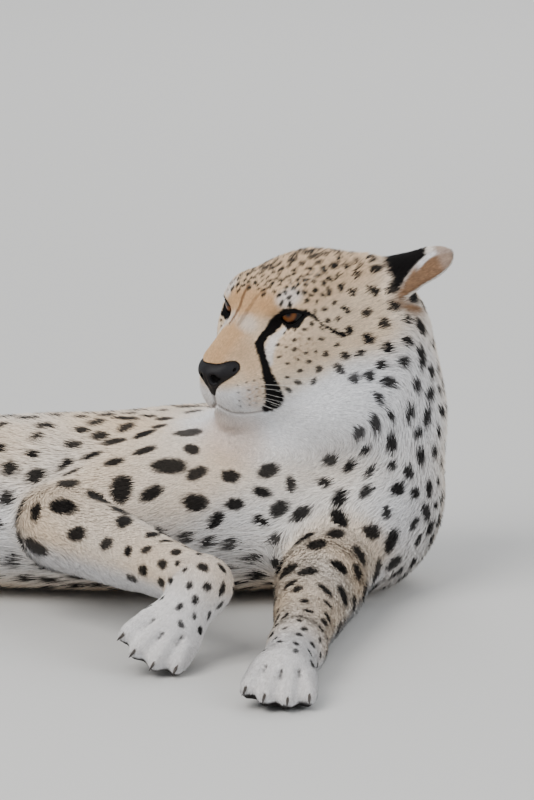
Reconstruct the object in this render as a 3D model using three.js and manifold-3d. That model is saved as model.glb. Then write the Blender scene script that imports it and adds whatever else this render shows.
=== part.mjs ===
// A life-size cheetah at rest, as a still museum model.
// It lies on its left side with the belly towards -Y and the chest towards +X. The forelegs reach
// out in front of it, the neck rises and the head is turned back over the right shoulder.
// Millimetres, +Z up. The origin is on the floor, in the middle of the flat under the rib cage.
//
// The body is one distance field: tapered bones and oval muscles, melted together. It is meshed
// whole, thinned out, and then parted into named pieces with a thin gap between neighbours.
import * as THREE from "three";
import { triTable } from "three/addons/objects/MarchingCubes.js";
import { mergeVertices } from "three/addons/utils/BufferGeometryUtils.js";
import Module from "manifold-3d";

const GAP = 0.4; // between neighbouring pieces
const FINE_CELL = 4.5; // the meshing grid around the head
const COARSE_CELL = 6.5; // and everywhere else
const BODY_TRIANGLES = 4100;

const v = (x, y, z) => new THREE.Vector3(x, y, z);
const between = (a, b, t) => a.clone().lerp(b, t);

// ---------------------------------------------------------------- distance fields

// The smooth union of two distances; `reach` is how wide the fillet between them is.
function melt(a, b, reach) {
  const h = Math.max(reach - Math.abs(a - b), 0) / reach;
  return Math.min(a, b) - (h * h * reach) / 4;
}

// A tapered bone or muscle with round ends.
function cone(a, b, ra, rb) {
  const axis = b.clone().sub(a);
  const long = axis.lengthSq();
  const taper = ra - rb;
  const slope = long - taper * taper;
  const field = (x, y, z) => {
    const px = x - a.x;
    const py = y - a.y;
    const pz = z - a.z;
    const along = px * axis.x + py * axis.y + pz * axis.z;
    const past = along - long;
    const cx = px * long - axis.x * along;
    const cy = py * long - axis.y * along;
    const cz = pz * long - axis.z * along;
    const across = cx * cx + cy * cy + cz * cz;
    const near = along * along * long;
    const far = past * past * long;
    const k = Math.sign(taper) * taper * taper * across;
    if (Math.sign(past) * slope * far > k) return Math.sqrt(across + far) / long - rb;
    if (Math.sign(along) * slope * near < k) return Math.sqrt(across + near) / long - ra;
    return (Math.sqrt((across * slope) / long) + along * taper) / long - ra;
  };
  return { field, middle: between(a, b, 0.5), radius: Math.sqrt(long) / 2 + Math.max(ra, rb) };
}

// An oval muscle: radii along `ahead`, along `side` and along the line square to both.
function oval(centre, radii, ahead = v(1, 0, 0), side = v(0, 1, 0)) {
  const f = ahead.clone().normalize();
  const s = side.clone().addScaledVector(f, -side.dot(f)).normalize();
  const u = f.clone().cross(s);
  const [rf, rs, ru] = radii;
  const field = (x, y, z) => {
    const px = x - centre.x;
    const py = y - centre.y;
    const pz = z - centre.z;
    const a = (px * f.x + py * f.y + pz * f.z) / rf;
    const b = (px * s.x + py * s.y + pz * s.z) / rs;
    const c = (px * u.x + py * u.y + pz * u.z) / ru;
    const k0 = Math.sqrt(a * a + b * b + c * c);
    const k1 = Math.sqrt((a * a) / (rf * rf) + (b * b) / (rs * rs) + (c * c) / (ru * ru));
    return k1 > 0 ? (k0 * (k0 - 1)) / k1 : -Math.min(rf, rs, ru);
  };
  return { field, middle: centre, radius: Math.max(rf, rs, ru) };
}

// A stack of oval sections along X. Each station is [x, y, z, half width in Y, half height in Z];
// the sizes in between follow a smooth curve through the stations.
function barrel(stations) {
  const first = stations[0][0];
  const last = stations[stations.length - 1][0];
  const sample = (x) => {
    let i = 0;
    while (i < stations.length - 2 && x > stations[i + 1][0]) i++;
    const p = [i - 1, i, i + 1, i + 2].map((k) => {
      return stations[Math.min(Math.max(k, 0), stations.length - 1)];
    });
    const t = Math.min(Math.max((x - p[1][0]) / (p[2][0] - p[1][0]), 0), 1);
    return [1, 2, 3, 4].map((c) => {
      const m1 = (p[2][c] - p[0][c]) / 2;
      const m2 = (p[3][c] - p[1][c]) / 2;
      const [t2, t3] = [t * t, t * t * t];
      return p[1][c] * (2 * t3 - 3 * t2 + 1) + m1 * (t3 - 2 * t2 + t) + p[2][c] * (3 * t2 - 2 * t3)
        + m2 * (t3 - t2);
    });
  };
  const field = (x, y, z) => {
    const within = Math.min(Math.max(x, first), last);
    const [cy, cz, wide, tall] = sample(within);
    const a = (y - cy) / wide;
    const b = (z - cz) / tall;
    const past = (x - within) / Math.min(wide, tall);
    const k0 = Math.sqrt(a * a + b * b + past * past);
    const round = Math.min(wide, tall);
    const k1 = Math.sqrt((a / wide) ** 2 + (b / tall) ** 2 + (past / round) ** 2);
    return k1 > 1e-9 ? (k0 * (k0 - 1)) / k1 : -round;
  };
  const widest = Math.max(...stations.map((s) => Math.max(s[3], s[4])));
  const middle = v((first + last) / 2, 0, stations[1][2]);
  return { field, middle, radius: (last - first) / 2 + widest * 1.5 };
}

// Shapes melted together with one reach, as one shape.
function flesh(reach, shapes) {
  const field = (x, y, z) => {
    let d = Infinity;
    for (const s of shapes) {
      const clear = Math.hypot(x - s.middle.x, y - s.middle.y, z - s.middle.z) - s.radius;
      if (clear > d + reach) continue;
      d = d === Infinity ? s.field(x, y, z) : melt(d, s.field(x, y, z), reach);
    }
    return d;
  };
  const box = new THREE.Box3();
  for (const s of shapes) {
    box.expandByPoint(s.middle.clone().addScalar(s.radius));
    box.expandByPoint(s.middle.clone().addScalar(-s.radius));
  }
  const ball = box.getBoundingSphere(new THREE.Sphere());
  return { field, middle: ball.center, radius: ball.radius };
}

// ---------------------------------------------------------------- the animal

// Joints, right (upper) side and left (lower) side.
const JOINTS = {
  right: {
    shoulder: v(-5, -30, 122), elbow: v(-198, -142, 92), wrist: v(-60, -310, 72),
    knuckles: v(-88, -334, 36), toes: v(-105, -366, 25), top: v(0.42, -0.25, 0.87),
    hip: v(-610, 15, 102), stifle: v(-462, -190, 90), hock: v(-640, -390, 58),
    sole: v(-560, -478, 35), hindToes: v(-524, -518, 22), hindTop: v(0.3, 0.25, 0.9),
  },
  left: {
    shoulder: v(95, 45, 66), elbow: v(52, -170, 42), wrist: v(28, -388, 30),
    knuckles: v(16, -462, 25), toes: v(11, -500, 17), top: v(0.12, 0, 0.99),
    hip: v(-600, 20, 52), stifle: v(-628, -220, 44), hock: v(-842, -366, 25),
    sole: v(-832, -484, 24), hindToes: v(-824, -532, 17), hindTop: v(0.12, 0, 0.99),
  },
};

// The head's own frame: ahead, to its left and up, from midway between the eyes.
const TURN = (48 * Math.PI) / 180; // towards -Y, from facing -X
const NOD = (12 * Math.PI) / 180; // nose down
const BROW = v(-9, -60, 283);
const AHEAD = v(-Math.cos(TURN) * Math.cos(NOD), -Math.sin(TURN) * Math.cos(NOD), -Math.sin(NOD));
const LEFT = v(Math.sin(TURN), -Math.cos(TURN), 0);
const UP = AHEAD.clone().cross(LEFT);
const onHead = (f, l, u) => {
  return BROW.clone().addScaledVector(AHEAD, f).addScaledVector(LEFT, l).addScaledVector(UP, u);
};
const headOval = (f, l, u, radii, aim = [1, 0, 0], side = [0, 1, 0]) => {
  const turn = ([a, b, c]) => onHead(a, b, c).sub(BROW);
  return oval(onHead(f, l, u), radii, turn(aim), turn(side));
};
const headCone = (a, b, ra, rb) => cone(onHead(...a), onHead(...b), ra, rb);

const EYE = { radius: 16.5, at: [-13.5, 35.5, -1.5] };
const NOSE = { radii: [13, 19, 17], at: [71, 0, -38] };

function headFlesh() {
  const bothSides = [1, -1].flatMap((m) => [
    headOval(-40, 30 * m, 3, [40, 25, 22], [1, 0, 0]), // temple
    headOval(-34, 45 * m, -18, [42, 19, 24], [1, -0.22 * m, 0]), // cheek bone
    headOval(-46, 44 * m, -48, [56, 26, 46], [1, -0.25 * m, -0.15]), // jaw muscle and ruff
    headOval(6, 26 * m, -38, [40, 20, 27], [1, -0.5 * m, -0.35]), // cheek below the eye
    headOval(10, 27 * m, -62, [36, 17, 22], [1, -0.35 * m, -0.2]), // corner of the mouth
    headCone([-56, 34 * m, -68], [28, 12 * m, -82], 28, 17), // lower jaw
    headOval(44, 16 * m, -56, [28, 18, 21], [1, -0.2 * m, -0.05]), // whisker pad
    headOval(-16, 29 * m, 13, [22, 12, 9], [1, -0.7 * m, -0.1]), // brow ridge
  ]);
  return flesh(18, [
    headOval(-60, 0, -8, [66, 50, 42]), // skull
    headOval(-20, 0, -4, [34, 32, 28]), // forehead
    headOval(-108, 32, -4, [36, 28, 28]), // back of the crown, left
    headOval(-104, -30, -12, [36, 28, 28]), // and right, a little lower
    headCone([0, 0, -5], [58, 0, -30], 23, 19), // bridge of the nose
    headOval(45, 0, -44, [31, 23, 22]), // muzzle
    headOval(54, 0, -67, [21, 17, 14]), // lips
    headOval(45, 0, -86, [23, 18, 17]), // chin
    ...bothSides,
  ]);
}

// The ear lies back: a thick leaf from its root to its tip.
const EARS = {
  left: { root: [-122, 54, -8], tip: [-174, 95, 8], back: [0.58, 0.03, 0.81] },
  right: { root: [-128, -54, -18], tip: [-178, -90, -30], back: [0.58, -0.03, 0.81] },
};
function earLeaf({ root, tip, back }) {
  const [from, to] = [onHead(...root), onHead(...tip)];
  const out = to.clone().sub(from);
  const facing = onHead(...back).sub(BROW);
  return flesh(10, [
    oval(between(from, to, 0.5), [out.length() * 0.6, 11, 24], out, facing),
    oval(between(from, to, 0.14), [30, 15, 29], out, facing),
  ]);
}

function neckFlesh() {
  return flesh(40, [
    cone(onHead(-80, 0, -22), v(84, 20, 236), 52, 70),
    cone(v(84, 20, 236), v(90, 24, 165), 70, 78),
    cone(v(90, 24, 165), v(82, 8, 97), 78, 88),
    oval(v(52, -52, 180), [56, 46, 46]), // ruff at the throat
  ]);
}

function trunkFlesh() {
  return flesh(60, [
    barrel([
      [-715, 40, 62, 56, 54],
      [-640, 20, 73, 84, 74],
      [-540, 14, 78, 92, 80],
      [-430, 20, 80, 88, 80],
      [-320, 12, 80, 102, 83],
      [-200, 2, 83, 122, 87],
      [-90, -2, 83, 131, 87],
      [10, 0, 81, 124, 84],
      [80, 0, 76, 100, 76],
    ]),
    oval(v(-30, 55, 112), [100, 62, 40], v(1, -0.2, 0)), // right shoulder blade
    oval(v(-610, 20, 106), [96, 84, 42], v(1, -0.3, 0)), // right haunch
  ]);
}

// Four toes spread across the front of a paw; the middle two reach further.
const TOE_SPREAD = [-26, -9.5, 9.5, 26];
const TOE_REACH = [-3, 8, 8, -3];
function toeRoots(from, tips, top) {
  const ahead = tips.clone().sub(from).normalize();
  const aside = ahead.clone().cross(top).normalize();
  return TOE_SPREAD.map((spread, i) => ({
    at: tips.clone().addScaledVector(aside, spread).addScaledVector(ahead, TOE_REACH[i]),
    ahead: ahead.clone().addScaledVector(aside, spread / 120).normalize(),
    aside,
  }));
}

function paw(from, tips, top) {
  const toes = toeRoots(from, tips, top).map((t) => oval(t.at, [20, 10.5, 14], t.ahead, t.aside));
  const { ahead, aside } = toeRoots(from, tips, top)[1];
  return flesh(8, [oval(between(from, tips, 0.45), [40, 35, 21], ahead, aside), ...toes]);
}

function foreleg(j, thick) {
  return flesh(12, [
    cone(j.shoulder, j.elbow, 62 * thick, 44),
    oval(between(j.shoulder, j.elbow, 0.42), [112 * thick, 58 * thick, 50 * thick],
      j.elbow.clone().sub(j.shoulder)),
    cone(j.elbow, j.wrist, 40, 26),
    cone(between(j.elbow, j.wrist, 0.08), between(j.elbow, j.wrist, 0.5), 43, 32),
    cone(j.wrist, j.knuckles, 28, 26),
    paw(j.knuckles, j.toes, j.top),
  ]);
}

function hindleg(j, thick) {
  return flesh(12, [
    cone(j.hip, j.stifle, 72 * thick, 52),
    oval(between(j.hip, j.stifle, 0.45), [130, 82 * thick, 50 * thick],
      j.stifle.clone().sub(j.hip)),
    cone(j.stifle, j.hock, 48, 24),
    cone(between(j.stifle, j.hock, 0.05), between(j.stifle, j.hock, 0.5), 50, 34),
    cone(j.hock, j.sole, 26, 24),
    paw(j.sole, j.hindToes, j.hindTop),
  ]);
}

const TAIL = [
  v(-700, 62, 62), v(-790, 92, 42), v(-900, 108, 30), v(-1010, 100, 27), v(-1120, 70, 26),
  v(-1220, 22, 26), v(-1310, -40, 27), v(-1385, -110, 28),
];
const TAIL_RADII = [40, 31, 28, 27, 26.5, 26.5, 28, 26];
function tailFlesh() {
  return flesh(4, TAIL.slice(1).map((end, i) => {
    return cone(TAIL[i], end, TAIL_RADII[i], TAIL_RADII[i + 1]);
  }));
}

// Each limb melts into the body, but not into the other limbs.
function graft(reach, body, limbs) {
  const field = (x, y, z) => {
    const d = body.field(x, y, z);
    let joined = d;
    for (const limb of limbs) {
      const clear = Math.hypot(x - limb.middle.x, y - limb.middle.y, z - limb.middle.z);
      if (clear - limb.radius > joined + reach) continue;
      joined = Math.min(joined, melt(d, limb.field(x, y, z), reach));
    }
    return joined;
  };
  return { field };
}

function animal() {
  const core = flesh(48, [trunkFlesh(), neckFlesh()]);
  const faced = flesh(22, [core, headFlesh()]);
  const eared = flesh(14, [faced, earLeaf(EARS.left), earLeaf(EARS.right)]);
  return graft(34, eared, [
    foreleg(JOINTS.right, 1), foreleg(JOINTS.left, 0.92),
    hindleg(JOINTS.right, 1), hindleg(JOINTS.left, 0.95), tailFlesh(),
  ]);
}

// ---------------------------------------------------------------- meshing

// Grid lines along one axis: FINE_CELL apart between `from` and `to`, widening outside.
function lines(low, high, from, to) {
  const out = [from];
  while (out[out.length - 1] < to) out.push(out[out.length - 1] + FINE_CELL);
  let step = FINE_CELL;
  while (out[out.length - 1] < high) {
    step = Math.min(step * 1.15, COARSE_CELL);
    out.push(out[out.length - 1] + step);
  }
  step = FINE_CELL;
  while (out[0] > low) {
    step = Math.min(step * 1.15, COARSE_CELL);
    out.unshift(out[0] - step);
  }
  return out;
}

const BLOCK = 6;
const EDGE_ENDS = [
  [0, 1], [1, 2], [2, 3], [3, 0], [4, 5], [5, 6], [6, 7], [7, 4], [0, 4], [1, 5], [2, 6], [3, 7],
];
const CORNER = [
  [0, 0, 0], [1, 0, 0], [1, 1, 0], [0, 1, 0], [0, 0, 1], [1, 0, 1], [1, 1, 1], [0, 1, 1],
];

// The field at every grid point of the blocks the surface may pass through.
function sampleField(field, xs, ys, zs) {
  const [nx, ny, nz] = [xs.length, ys.length, zs.length];
  const values = new Float32Array(nx * ny * nz);
  const active = [];
  for (let k = 0; k < nz - 1; k += BLOCK) {
    for (let j = 0; j < ny - 1; j += BLOCK) {
      for (let i = 0; i < nx - 1; i += BLOCK) {
        const to = [Math.min(i + BLOCK, nx - 1), Math.min(j + BLOCK, ny - 1),
          Math.min(k + BLOCK, nz - 1)];
        const [dx, dy, dz] = [xs[to[0]] - xs[i], ys[to[1]] - ys[j], zs[to[2]] - zs[k]];
        const centre = field(xs[i] + dx / 2, ys[j] + dy / 2, zs[k] + dz / 2);
        if (Math.abs(centre) > Math.hypot(dx, dy, dz) * 0.9) continue;
        active.push([i, j, k, ...to]);
        for (let c = k; c <= to[2]; c++) {
          for (let b = j; b <= to[1]; b++) {
            for (let a = i; a <= to[0]; a++) {
              const n = (c * ny + b) * nx + a;
              if (values[n] === 0) values[n] = field(xs[a], ys[b], zs[c]) || 1e-6;
            }
          }
        }
      }
    }
  }
  return { values, active };
}

function marchCubes(field, xs, ys, zs) {
  const { values, active } = sampleField(field, xs, ys, zs);
  const [nx, ny] = [xs.length, ys.length];
  const points = [];
  const triangles = [];
  const made = new Map();
  const vertexOn = (a, b) => {
    const key = a < b ? a * 8e6 + b : b * 8e6 + a;
    if (made.has(key)) return made.get(key);
    const place = (n) => [xs[n % nx], ys[Math.floor(n / nx) % ny], zs[Math.floor(n / (nx * ny))]];
    const t = Math.min(Math.max(values[a] / (values[a] - values[b]), 0.02), 0.98);
    const [p, q] = [place(a), place(b)];
    made.set(key, points.length / 3);
    points.push(...p.map((c, axis) => c + (q[axis] - c) * t));
    return points.length / 3 - 1;
  };
  const meshCell = (i, j, k) => {
    const at = CORNER.map(([a, b, c]) => ((k + c) * ny + j + b) * nx + i + a);
    let kind = 0;
    at.forEach((n, bit) => {
      if (values[n] < 0) kind |= 1 << bit;
    });
    if (kind === 0 || kind === 255) return;
    for (let e = kind * 16; triTable[e] >= 0; e += 3) {
      const [a, b, c] = [0, 1, 2].map((n) => {
        const [from, to] = EDGE_ENDS[triTable[e + n]];
        return vertexOn(at[from], at[to]);
      });
      triangles.push([a, c, b]);
    }
  };
  for (const [i0, j0, k0, i1, j1, k1] of active) {
    for (let k = k0; k < k1; k++) {
      for (let j = j0; j < j1; j++) {
        for (let i = i0; i < i1; i++) meshCell(i, j, k);
      }
    }
  }
  return { points, triangles };
}

// ---------------------------------------------------------------- thinning out

// Edge collapse by squared distance to the planes a vertex stands for, heaviest on the head.
const minus = (p, q) => [p[0] - q[0], p[1] - q[1], p[2] - q[2]];
const dot = (p, q) => p[0] * q[0] + p[1] * q[1] + p[2] * q[2];
const cross = (p, q) => [
  p[1] * q[2] - p[2] * q[1], p[2] * q[0] - p[0] * q[2], p[0] * q[1] - p[1] * q[0],
];

// The ten numbers of the squared distance to a plane.
function planeQuadric([a, b, c], d, weight) {
  return [a * a, a * b, a * c, a * d, b * b, b * c, b * d, c * c, c * d, d * d]
    .map((x) => x * weight);
}

function quadricCost([xx, xy, xz, xw, yy, yz, yw, zz, zw, ww], [x, y, z]) {
  return xx * x * x + yy * y * y + zz * z * z + ww
    + 2 * (xy * x * y + xz * x * z + yz * y * z + xw * x + yw * y + zw * z);
}

// Where the squared distance is least, or nothing where the planes leave that open.
function quadricLow([xx, xy, xz, xw, yy, yz, yw, zz, zw]) {
  const columns = [[xx, xy, xz], [xy, yy, yz], [xz, yz, zz]];
  const aim = [-xw, -yw, -zw];
  const volume = dot(columns[0], cross(columns[1], columns[2]));
  if (Math.abs(volume) <= 1e-6 * Math.abs(xx + yy + zz) ** 3) return null;
  return [0, 1, 2].map((n) => {
    const [p, q, r] = columns.map((column, m) => (m === n ? aim : column));
    return dot(p, cross(q, r)) / volume;
  });
}

class Thinning {
  constructor({ points, triangles }, weigh) {
    this.points = points;
    this.triangles = triangles;
    this.dead = new Uint8Array(triangles.length);
    this.around = Array.from({ length: points.length / 3 }, () => []);
    this.quadrics = this.around.map(() => new Array(10).fill(0));
    triangles.forEach((t, index) => this.weighTriangle(t, index, weigh));
  }

  at(n) {
    return [this.points[n * 3], this.points[n * 3 + 1], this.points[n * 3 + 2]];
  }

  normal(t, moved = -1, place = null) {
    const [p, q, r] = t.map((n) => (n === moved ? place : this.at(n)));
    return cross(minus(q, p), minus(r, p));
  }

  weighTriangle(t, index, weigh) {
    const across = this.normal(t);
    const size = Math.hypot(...across) || 1;
    const unit = across.map((x) => x / size);
    const corner = this.at(t[0]);
    const plane = planeQuadric(unit, -dot(unit, corner), (size / 2) * weigh(...corner));
    for (const n of t) {
      this.around[n].push(index);
      plane.forEach((x, i) => { this.quadrics[n][i] += x; });
    }
  }

  // The cheapest place for the one vertex that stands for both.
  best(a, b) {
    const joint = this.quadrics[a].map((x, i) => x + this.quadrics[b][i]);
    const [p, q] = [this.at(a), this.at(b)];
    const places = [p, q, p.map((c, i) => (c + q[i]) / 2), quadricLow(joint)].filter(Boolean);
    const costs = places.map((place) => quadricCost(joint, place));
    const least = costs.indexOf(Math.min(...costs));
    return { place: places[least], cost: costs[least] };
  }

  ring(n) {
    const out = new Set(this.around[n].flatMap((t) => this.triangles[t]));
    out.delete(n);
    return out;
  }

  // True where the move keeps every triangle round it facing the same way.
  keepsShape(moving, other, place) {
    return this.around[moving].every((index) => {
      const t = this.triangles[index];
      if (t.includes(other)) return true;
      const before = this.normal(t);
      const after = this.normal(t, moving, place);
      const size = Math.hypot(...after);
      return size >= 0.4 && dot(before, after) >= 0.3 * Math.hypot(...before) * size;
    });
  }

  safe(a, b, place) {
    const other = this.ring(b);
    const shared = [...this.ring(a)].filter((n) => other.has(n)).length;
    return shared === 2 && this.keepsShape(a, b, place) && this.keepsShape(b, a, place);
  }

  collapse(a, b, place) {
    place.forEach((c, i) => { this.points[a * 3 + i] = c; });
    this.quadrics[b].forEach((x, i) => { this.quadrics[a][i] += x; });
    for (const index of this.around[b]) {
      const t = this.triangles[index];
      if (t.includes(a)) {
        this.dead[index] = 1;
      } else {
        t[t.indexOf(b)] = a;
        this.around[a].push(index);
      }
    }
    for (const index of this.around[b].filter((t) => this.dead[t])) {
      for (const n of this.triangles[index]) {
        this.around[n] = this.around[n].filter((t) => t !== index);
      }
    }
    this.around[b] = [];
  }

  // Collapses one edge of the triangle where that costs no more than the limit.
  tryTriangle(index, limit) {
    const t = this.triangles[index];
    for (let e = 0; e < 3; e++) {
      const [a, b] = [t[e], t[(e + 1) % 3]];
      const { place, cost } = this.best(a, b);
      if (cost <= limit && this.safe(a, b, place)) {
        this.collapse(a, b, place);
        return true;
      }
    }
    return false;
  }

  run(target) {
    let alive = this.triangles.length;
    for (let limit = 0.5; alive > target && limit < 1e9; limit *= 1.6) {
      for (let index = 0; index < this.triangles.length && alive > target; index++) {
        if (!this.dead[index] && this.tryTriangle(index, limit)) alive -= 2;
      }
    }
    return {
      points: this.points,
      triangles: this.triangles.filter((t, index) => !this.dead[index]),
    };
  }
}

function toGeometry({ points, triangles }) {
  const number = new Map();
  const flat = [];
  const order = triangles.flat().map((n) => {
    if (!number.has(n)) {
      number.set(n, flat.length / 3);
      flat.push(points[n * 3], points[n * 3 + 1], points[n * 3 + 2]);
    }
    return number.get(n);
  });
  const geometry = new THREE.BufferGeometry();
  geometry.setAttribute("position", new THREE.Float32BufferAttribute(flat, 3));
  geometry.setIndex(order);
  return geometry;
}

// ---------------------------------------------------------------- joining and cutting

const wasm = await Module();
wasm.setup();

function toSolid(geometry) {
  const bare = geometry.clone();
  bare.deleteAttribute("normal");
  bare.deleteAttribute("uv");
  const merged = mergeVertices(bare, 1e-4);
  const mesh = new wasm.Mesh({
    numProp: 3,
    vertProperties: new Float32Array(merged.attributes.position.array),
    triVerts: new Uint32Array(merged.index.array),
  });
  return new wasm.Manifold(mesh);
}

function fromSolid(solid) {
  const mesh = solid.getMesh();
  const geometry = new THREE.BufferGeometry();
  geometry.setAttribute("position", new THREE.BufferAttribute(mesh.vertProperties, 3));
  geometry.setIndex(new THREE.BufferAttribute(mesh.triVerts, 1));
  return geometry;
}

// ---------------------------------------------------------------- regions

// A box with its own axes: `along`, `out` and the line square to both. Grown by `by` all round.
function block(origin, along, out, [start, end], [low, high], half) {
  const x = along.clone().normalize();
  const z = out.clone().addScaledVector(x, -out.dot(x)).normalize();
  const y = z.clone().cross(x);
  const frame = new THREE.Matrix4().makeBasis(x, y, z).setPosition(origin);
  return (by) => {
    const box = new THREE.BoxGeometry(end - start + 2 * by, 2 * (half + by), high - low + 2 * by);
    box.translate((start + end) / 2, 0, (low + high) / 2);
    return toSolid(box.applyMatrix4(frame));
  };
}

// A level box between two corners.
function crate(low, high) {
  const size = high.clone().sub(low);
  return block(between(low, high, 0.5), v(1, 0, 0), v(0, 0, 1), [-size.x / 2, size.x / 2],
    [-size.z / 2, size.z / 2], size.y / 2);
}

// A faceted egg in the head's frame.
function egg(at, radii, detail) {
  const frame = new THREE.Matrix4().makeBasis(AHEAD, LEFT, UP).setPosition(onHead(...at));
  return (by) => {
    const ball = new THREE.IcosahedronGeometry(1, detail);
    ball.scale(...radii.map((r) => r + by));
    return toSolid(ball.applyMatrix4(frame));
  };
}

const CLAW = { base: 3.4, long: 12, sides: 7 };

function claw(toe, top) {
  const down = toe.ahead.clone().addScaledVector(top, -0.2).normalize();
  const turn = new THREE.Quaternion().setFromUnitVectors(v(0, 1, 0), down);
  return (by) => {
    const spike = new THREE.ConeGeometry(CLAW.base + by, CLAW.long + 2 * by, CLAW.sides, 1);
    spike.translate(0, CLAW.long / 2, 0).applyQuaternion(turn);
    const root = toe.at.clone().addScaledVector(toe.ahead, 14).addScaledVector(top, 3);
    spike.translate(root.x, root.y, root.z);
    return toSolid(spike);
  };
}

function armRegions(side) {
  const j = JOINTS[side];
  const up = v(0, 0, 1);
  const fore = j.wrist.clone().sub(j.elbow);
  const hand = j.toes.clone().sub(j.wrist);
  const upperArm = {
    right: () => {
      const out = v(0, -0.55, 0.83);
      const from = j.shoulder.clone().addScaledVector(out, 6);
      const to = j.elbow.clone().addScaledVector(out, -54);
      const along = to.clone().sub(from);
      return block(from, along, out, [-30, along.length() + 52], [0, 150], 66);
    },
    left: () => crate(v(-12, -260, -10), v(122, -120, 140)),
  };
  return [
    [`forepaw_${side}`, block(j.wrist, hand, j.top, [8, 175], [-46, 46], 44)],
    [`forearm_${side}`, block(j.elbow, fore, up, [46, fore.length() + 34], [-90, 70], 44)],
    [`upper_arm_${side}`, upperArm[side]()],
  ];
}

function legRegions(side) {
  const j = JOINTS[side];
  const up = v(0, 0, 1);
  const shank = j.hock.clone().sub(j.stifle);
  const foot = j.hindToes.clone().sub(j.hock);
  const thigh = {
    right: () => {
      const out = v(0, -0.35, 0.94);
      const from = j.hip.clone().addScaledVector(out, 10);
      const to = j.stifle.clone().addScaledVector(out, -62);
      const along = to.clone().sub(from);
      return block(from, along, out, [-70, along.length() + 60], [0, 150], 78);
    },
    left: () => crate(v(-700, -320, -10), v(-552, -108, 130)),
  };
  return [
    [`hindpaw_${side}`, block(j.hock, foot, j.hindTop, [14, 240], [-46, 50], 48)],
    [`shank_${side}`, block(j.stifle, shank, up, [44, shank.length() + 45], [-90, 70], 48)],
    [`thigh_${side}`, thigh[side]()],
  ];
}

const earRegion = ({ root, tip, back }) => {
  const [from, to] = [onHead(...root), onHead(...tip)];
  return block(from, to.clone().sub(from), onHead(...back).sub(BROW), [-4, 100], [-34, 34], 46);
};

// ---------------------------------------------------------------- the pieces

const COAT = { color: 0xd8b98a, roughness: 0.9, metalness: 0 };
const EYES = { color: 0x9a5a1c, roughness: 0.1, metalness: 0 };
const LEATHER = { color: 0x17161a, roughness: 0.45, metalness: 0 };
const HORN = { color: 0x3a332c, roughness: 0.4, metalness: 0 };

// The whole body as one thinned solid, flat where it rests on the floor.
function wholeBody() {
  const dense = marchCubes(animal().field, lines(-1420, 210, -125, 130),
    lines(-600, 175, -165, 60), lines(-30, 375, 165, 360));
  const weigh = (x, y, z) => {
    const away = Math.hypot(x + 20, y + 40, z - 275);
    if (away < 130) return 8;
    return away < 200 || y < -350 ? 3 : 1;
  };
  const bodies = toSolid(toGeometry(new Thinning(dense, weigh).run(BODY_TRIANGLES))).decompose();
  const largest = bodies.sort((a, b) => b.volume() - a.volume())[0];
  return largest.subtract(crate(v(-2000, -2000, -300), v(2000, 2000, 0))(0));
}

// Solid parts set into the flesh, which is cleared round them: [name, shape, look].
function inserts() {
  const { at: [ahead, aside, up], radius } = EYE;
  const eye = (m) => egg([ahead, aside * m, up], [radius, radius, radius], 2);
  const clawsOf = (name, toes, top) => {
    return toes.map((toe, i) => [`claw_${name}_${i + 1}`, claw(toe, top), HORN]);
  };
  const claws = ["right", "left"].flatMap((side) => {
    const j = JOINTS[side];
    return [
      ...clawsOf(`fore_${side}`, toeRoots(j.knuckles, j.toes, j.top), j.top),
      ...clawsOf(`hind_${side}`, toeRoots(j.sole, j.hindToes, j.hindTop), j.hindTop),
    ];
  });
  return [
    ["eye_left", eye(1), EYES],
    ["eye_right", eye(-1), EYES],
    ["nose", egg(NOSE.at, NOSE.radii, 2), LEATHER],
    ...claws,
  ];
}

// The stretches of the body, each taken from what the ones before it leave.
function regions() {
  return [
    ["ear_left", earRegion(EARS.left)],
    ["ear_right", earRegion(EARS.right)],
    ["head", egg([-36, 0, -34], [142, 108, 86], 2)],
    ["neck", crate(v(-12, -170, 128), v(260, 170, 420))],
    ...armRegions("right"),
    ...armRegions("left"),
    ...legRegions("right"),
    ...legRegions("left"),
    ["tail_3", crate(v(-1500, -260, -10), v(-1210, 200, 120))],
    ["tail_2", crate(v(-1210, -160, -10), v(-985, 200, 120))],
    ["tail_1", crate(v(-985, -60, -10), v(-772, 200, 120))],
  ];
}

function build() {
  const cheetah = new THREE.Group();
  cheetah.name = "cheetah";
  const place = (name, solid, look) => {
    const mesh = new THREE.Mesh(fromSolid(solid), new THREE.MeshStandardMaterial(look));
    mesh.name = name;
    cheetah.add(mesh);
  };
  let rest = wholeBody();
  for (const [name, shape, look] of inserts()) {
    place(name, shape(0), look);
    rest = rest.subtract(shape(GAP));
  }
  for (const [name, region] of regions()) {
    place(name, rest.intersect(region(-GAP / 2)), COAT);
    rest = rest.subtract(region(GAP / 2));
  }
  place("trunk", rest, COAT);
  return cheetah;
}

const cheetah = build();
export default cheetah;
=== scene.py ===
"""The resting cheetah: skin, coat, eyes, nose leather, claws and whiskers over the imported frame.

The body is the same field as the solids', taken in by the depth of the coat. Lengths are in
millimetres and become metres when a mesh is made; floor, lights and camera are in metres. f, l and u
are places ahead, to the left and up in the head's own frame, which starts at the brow.
"""

import itertools
import math
from concurrent.futures import ThreadPoolExecutor

import bpy
import numpy as np
import openvdb
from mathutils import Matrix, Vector
from mathutils.kdtree import KDTree


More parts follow.
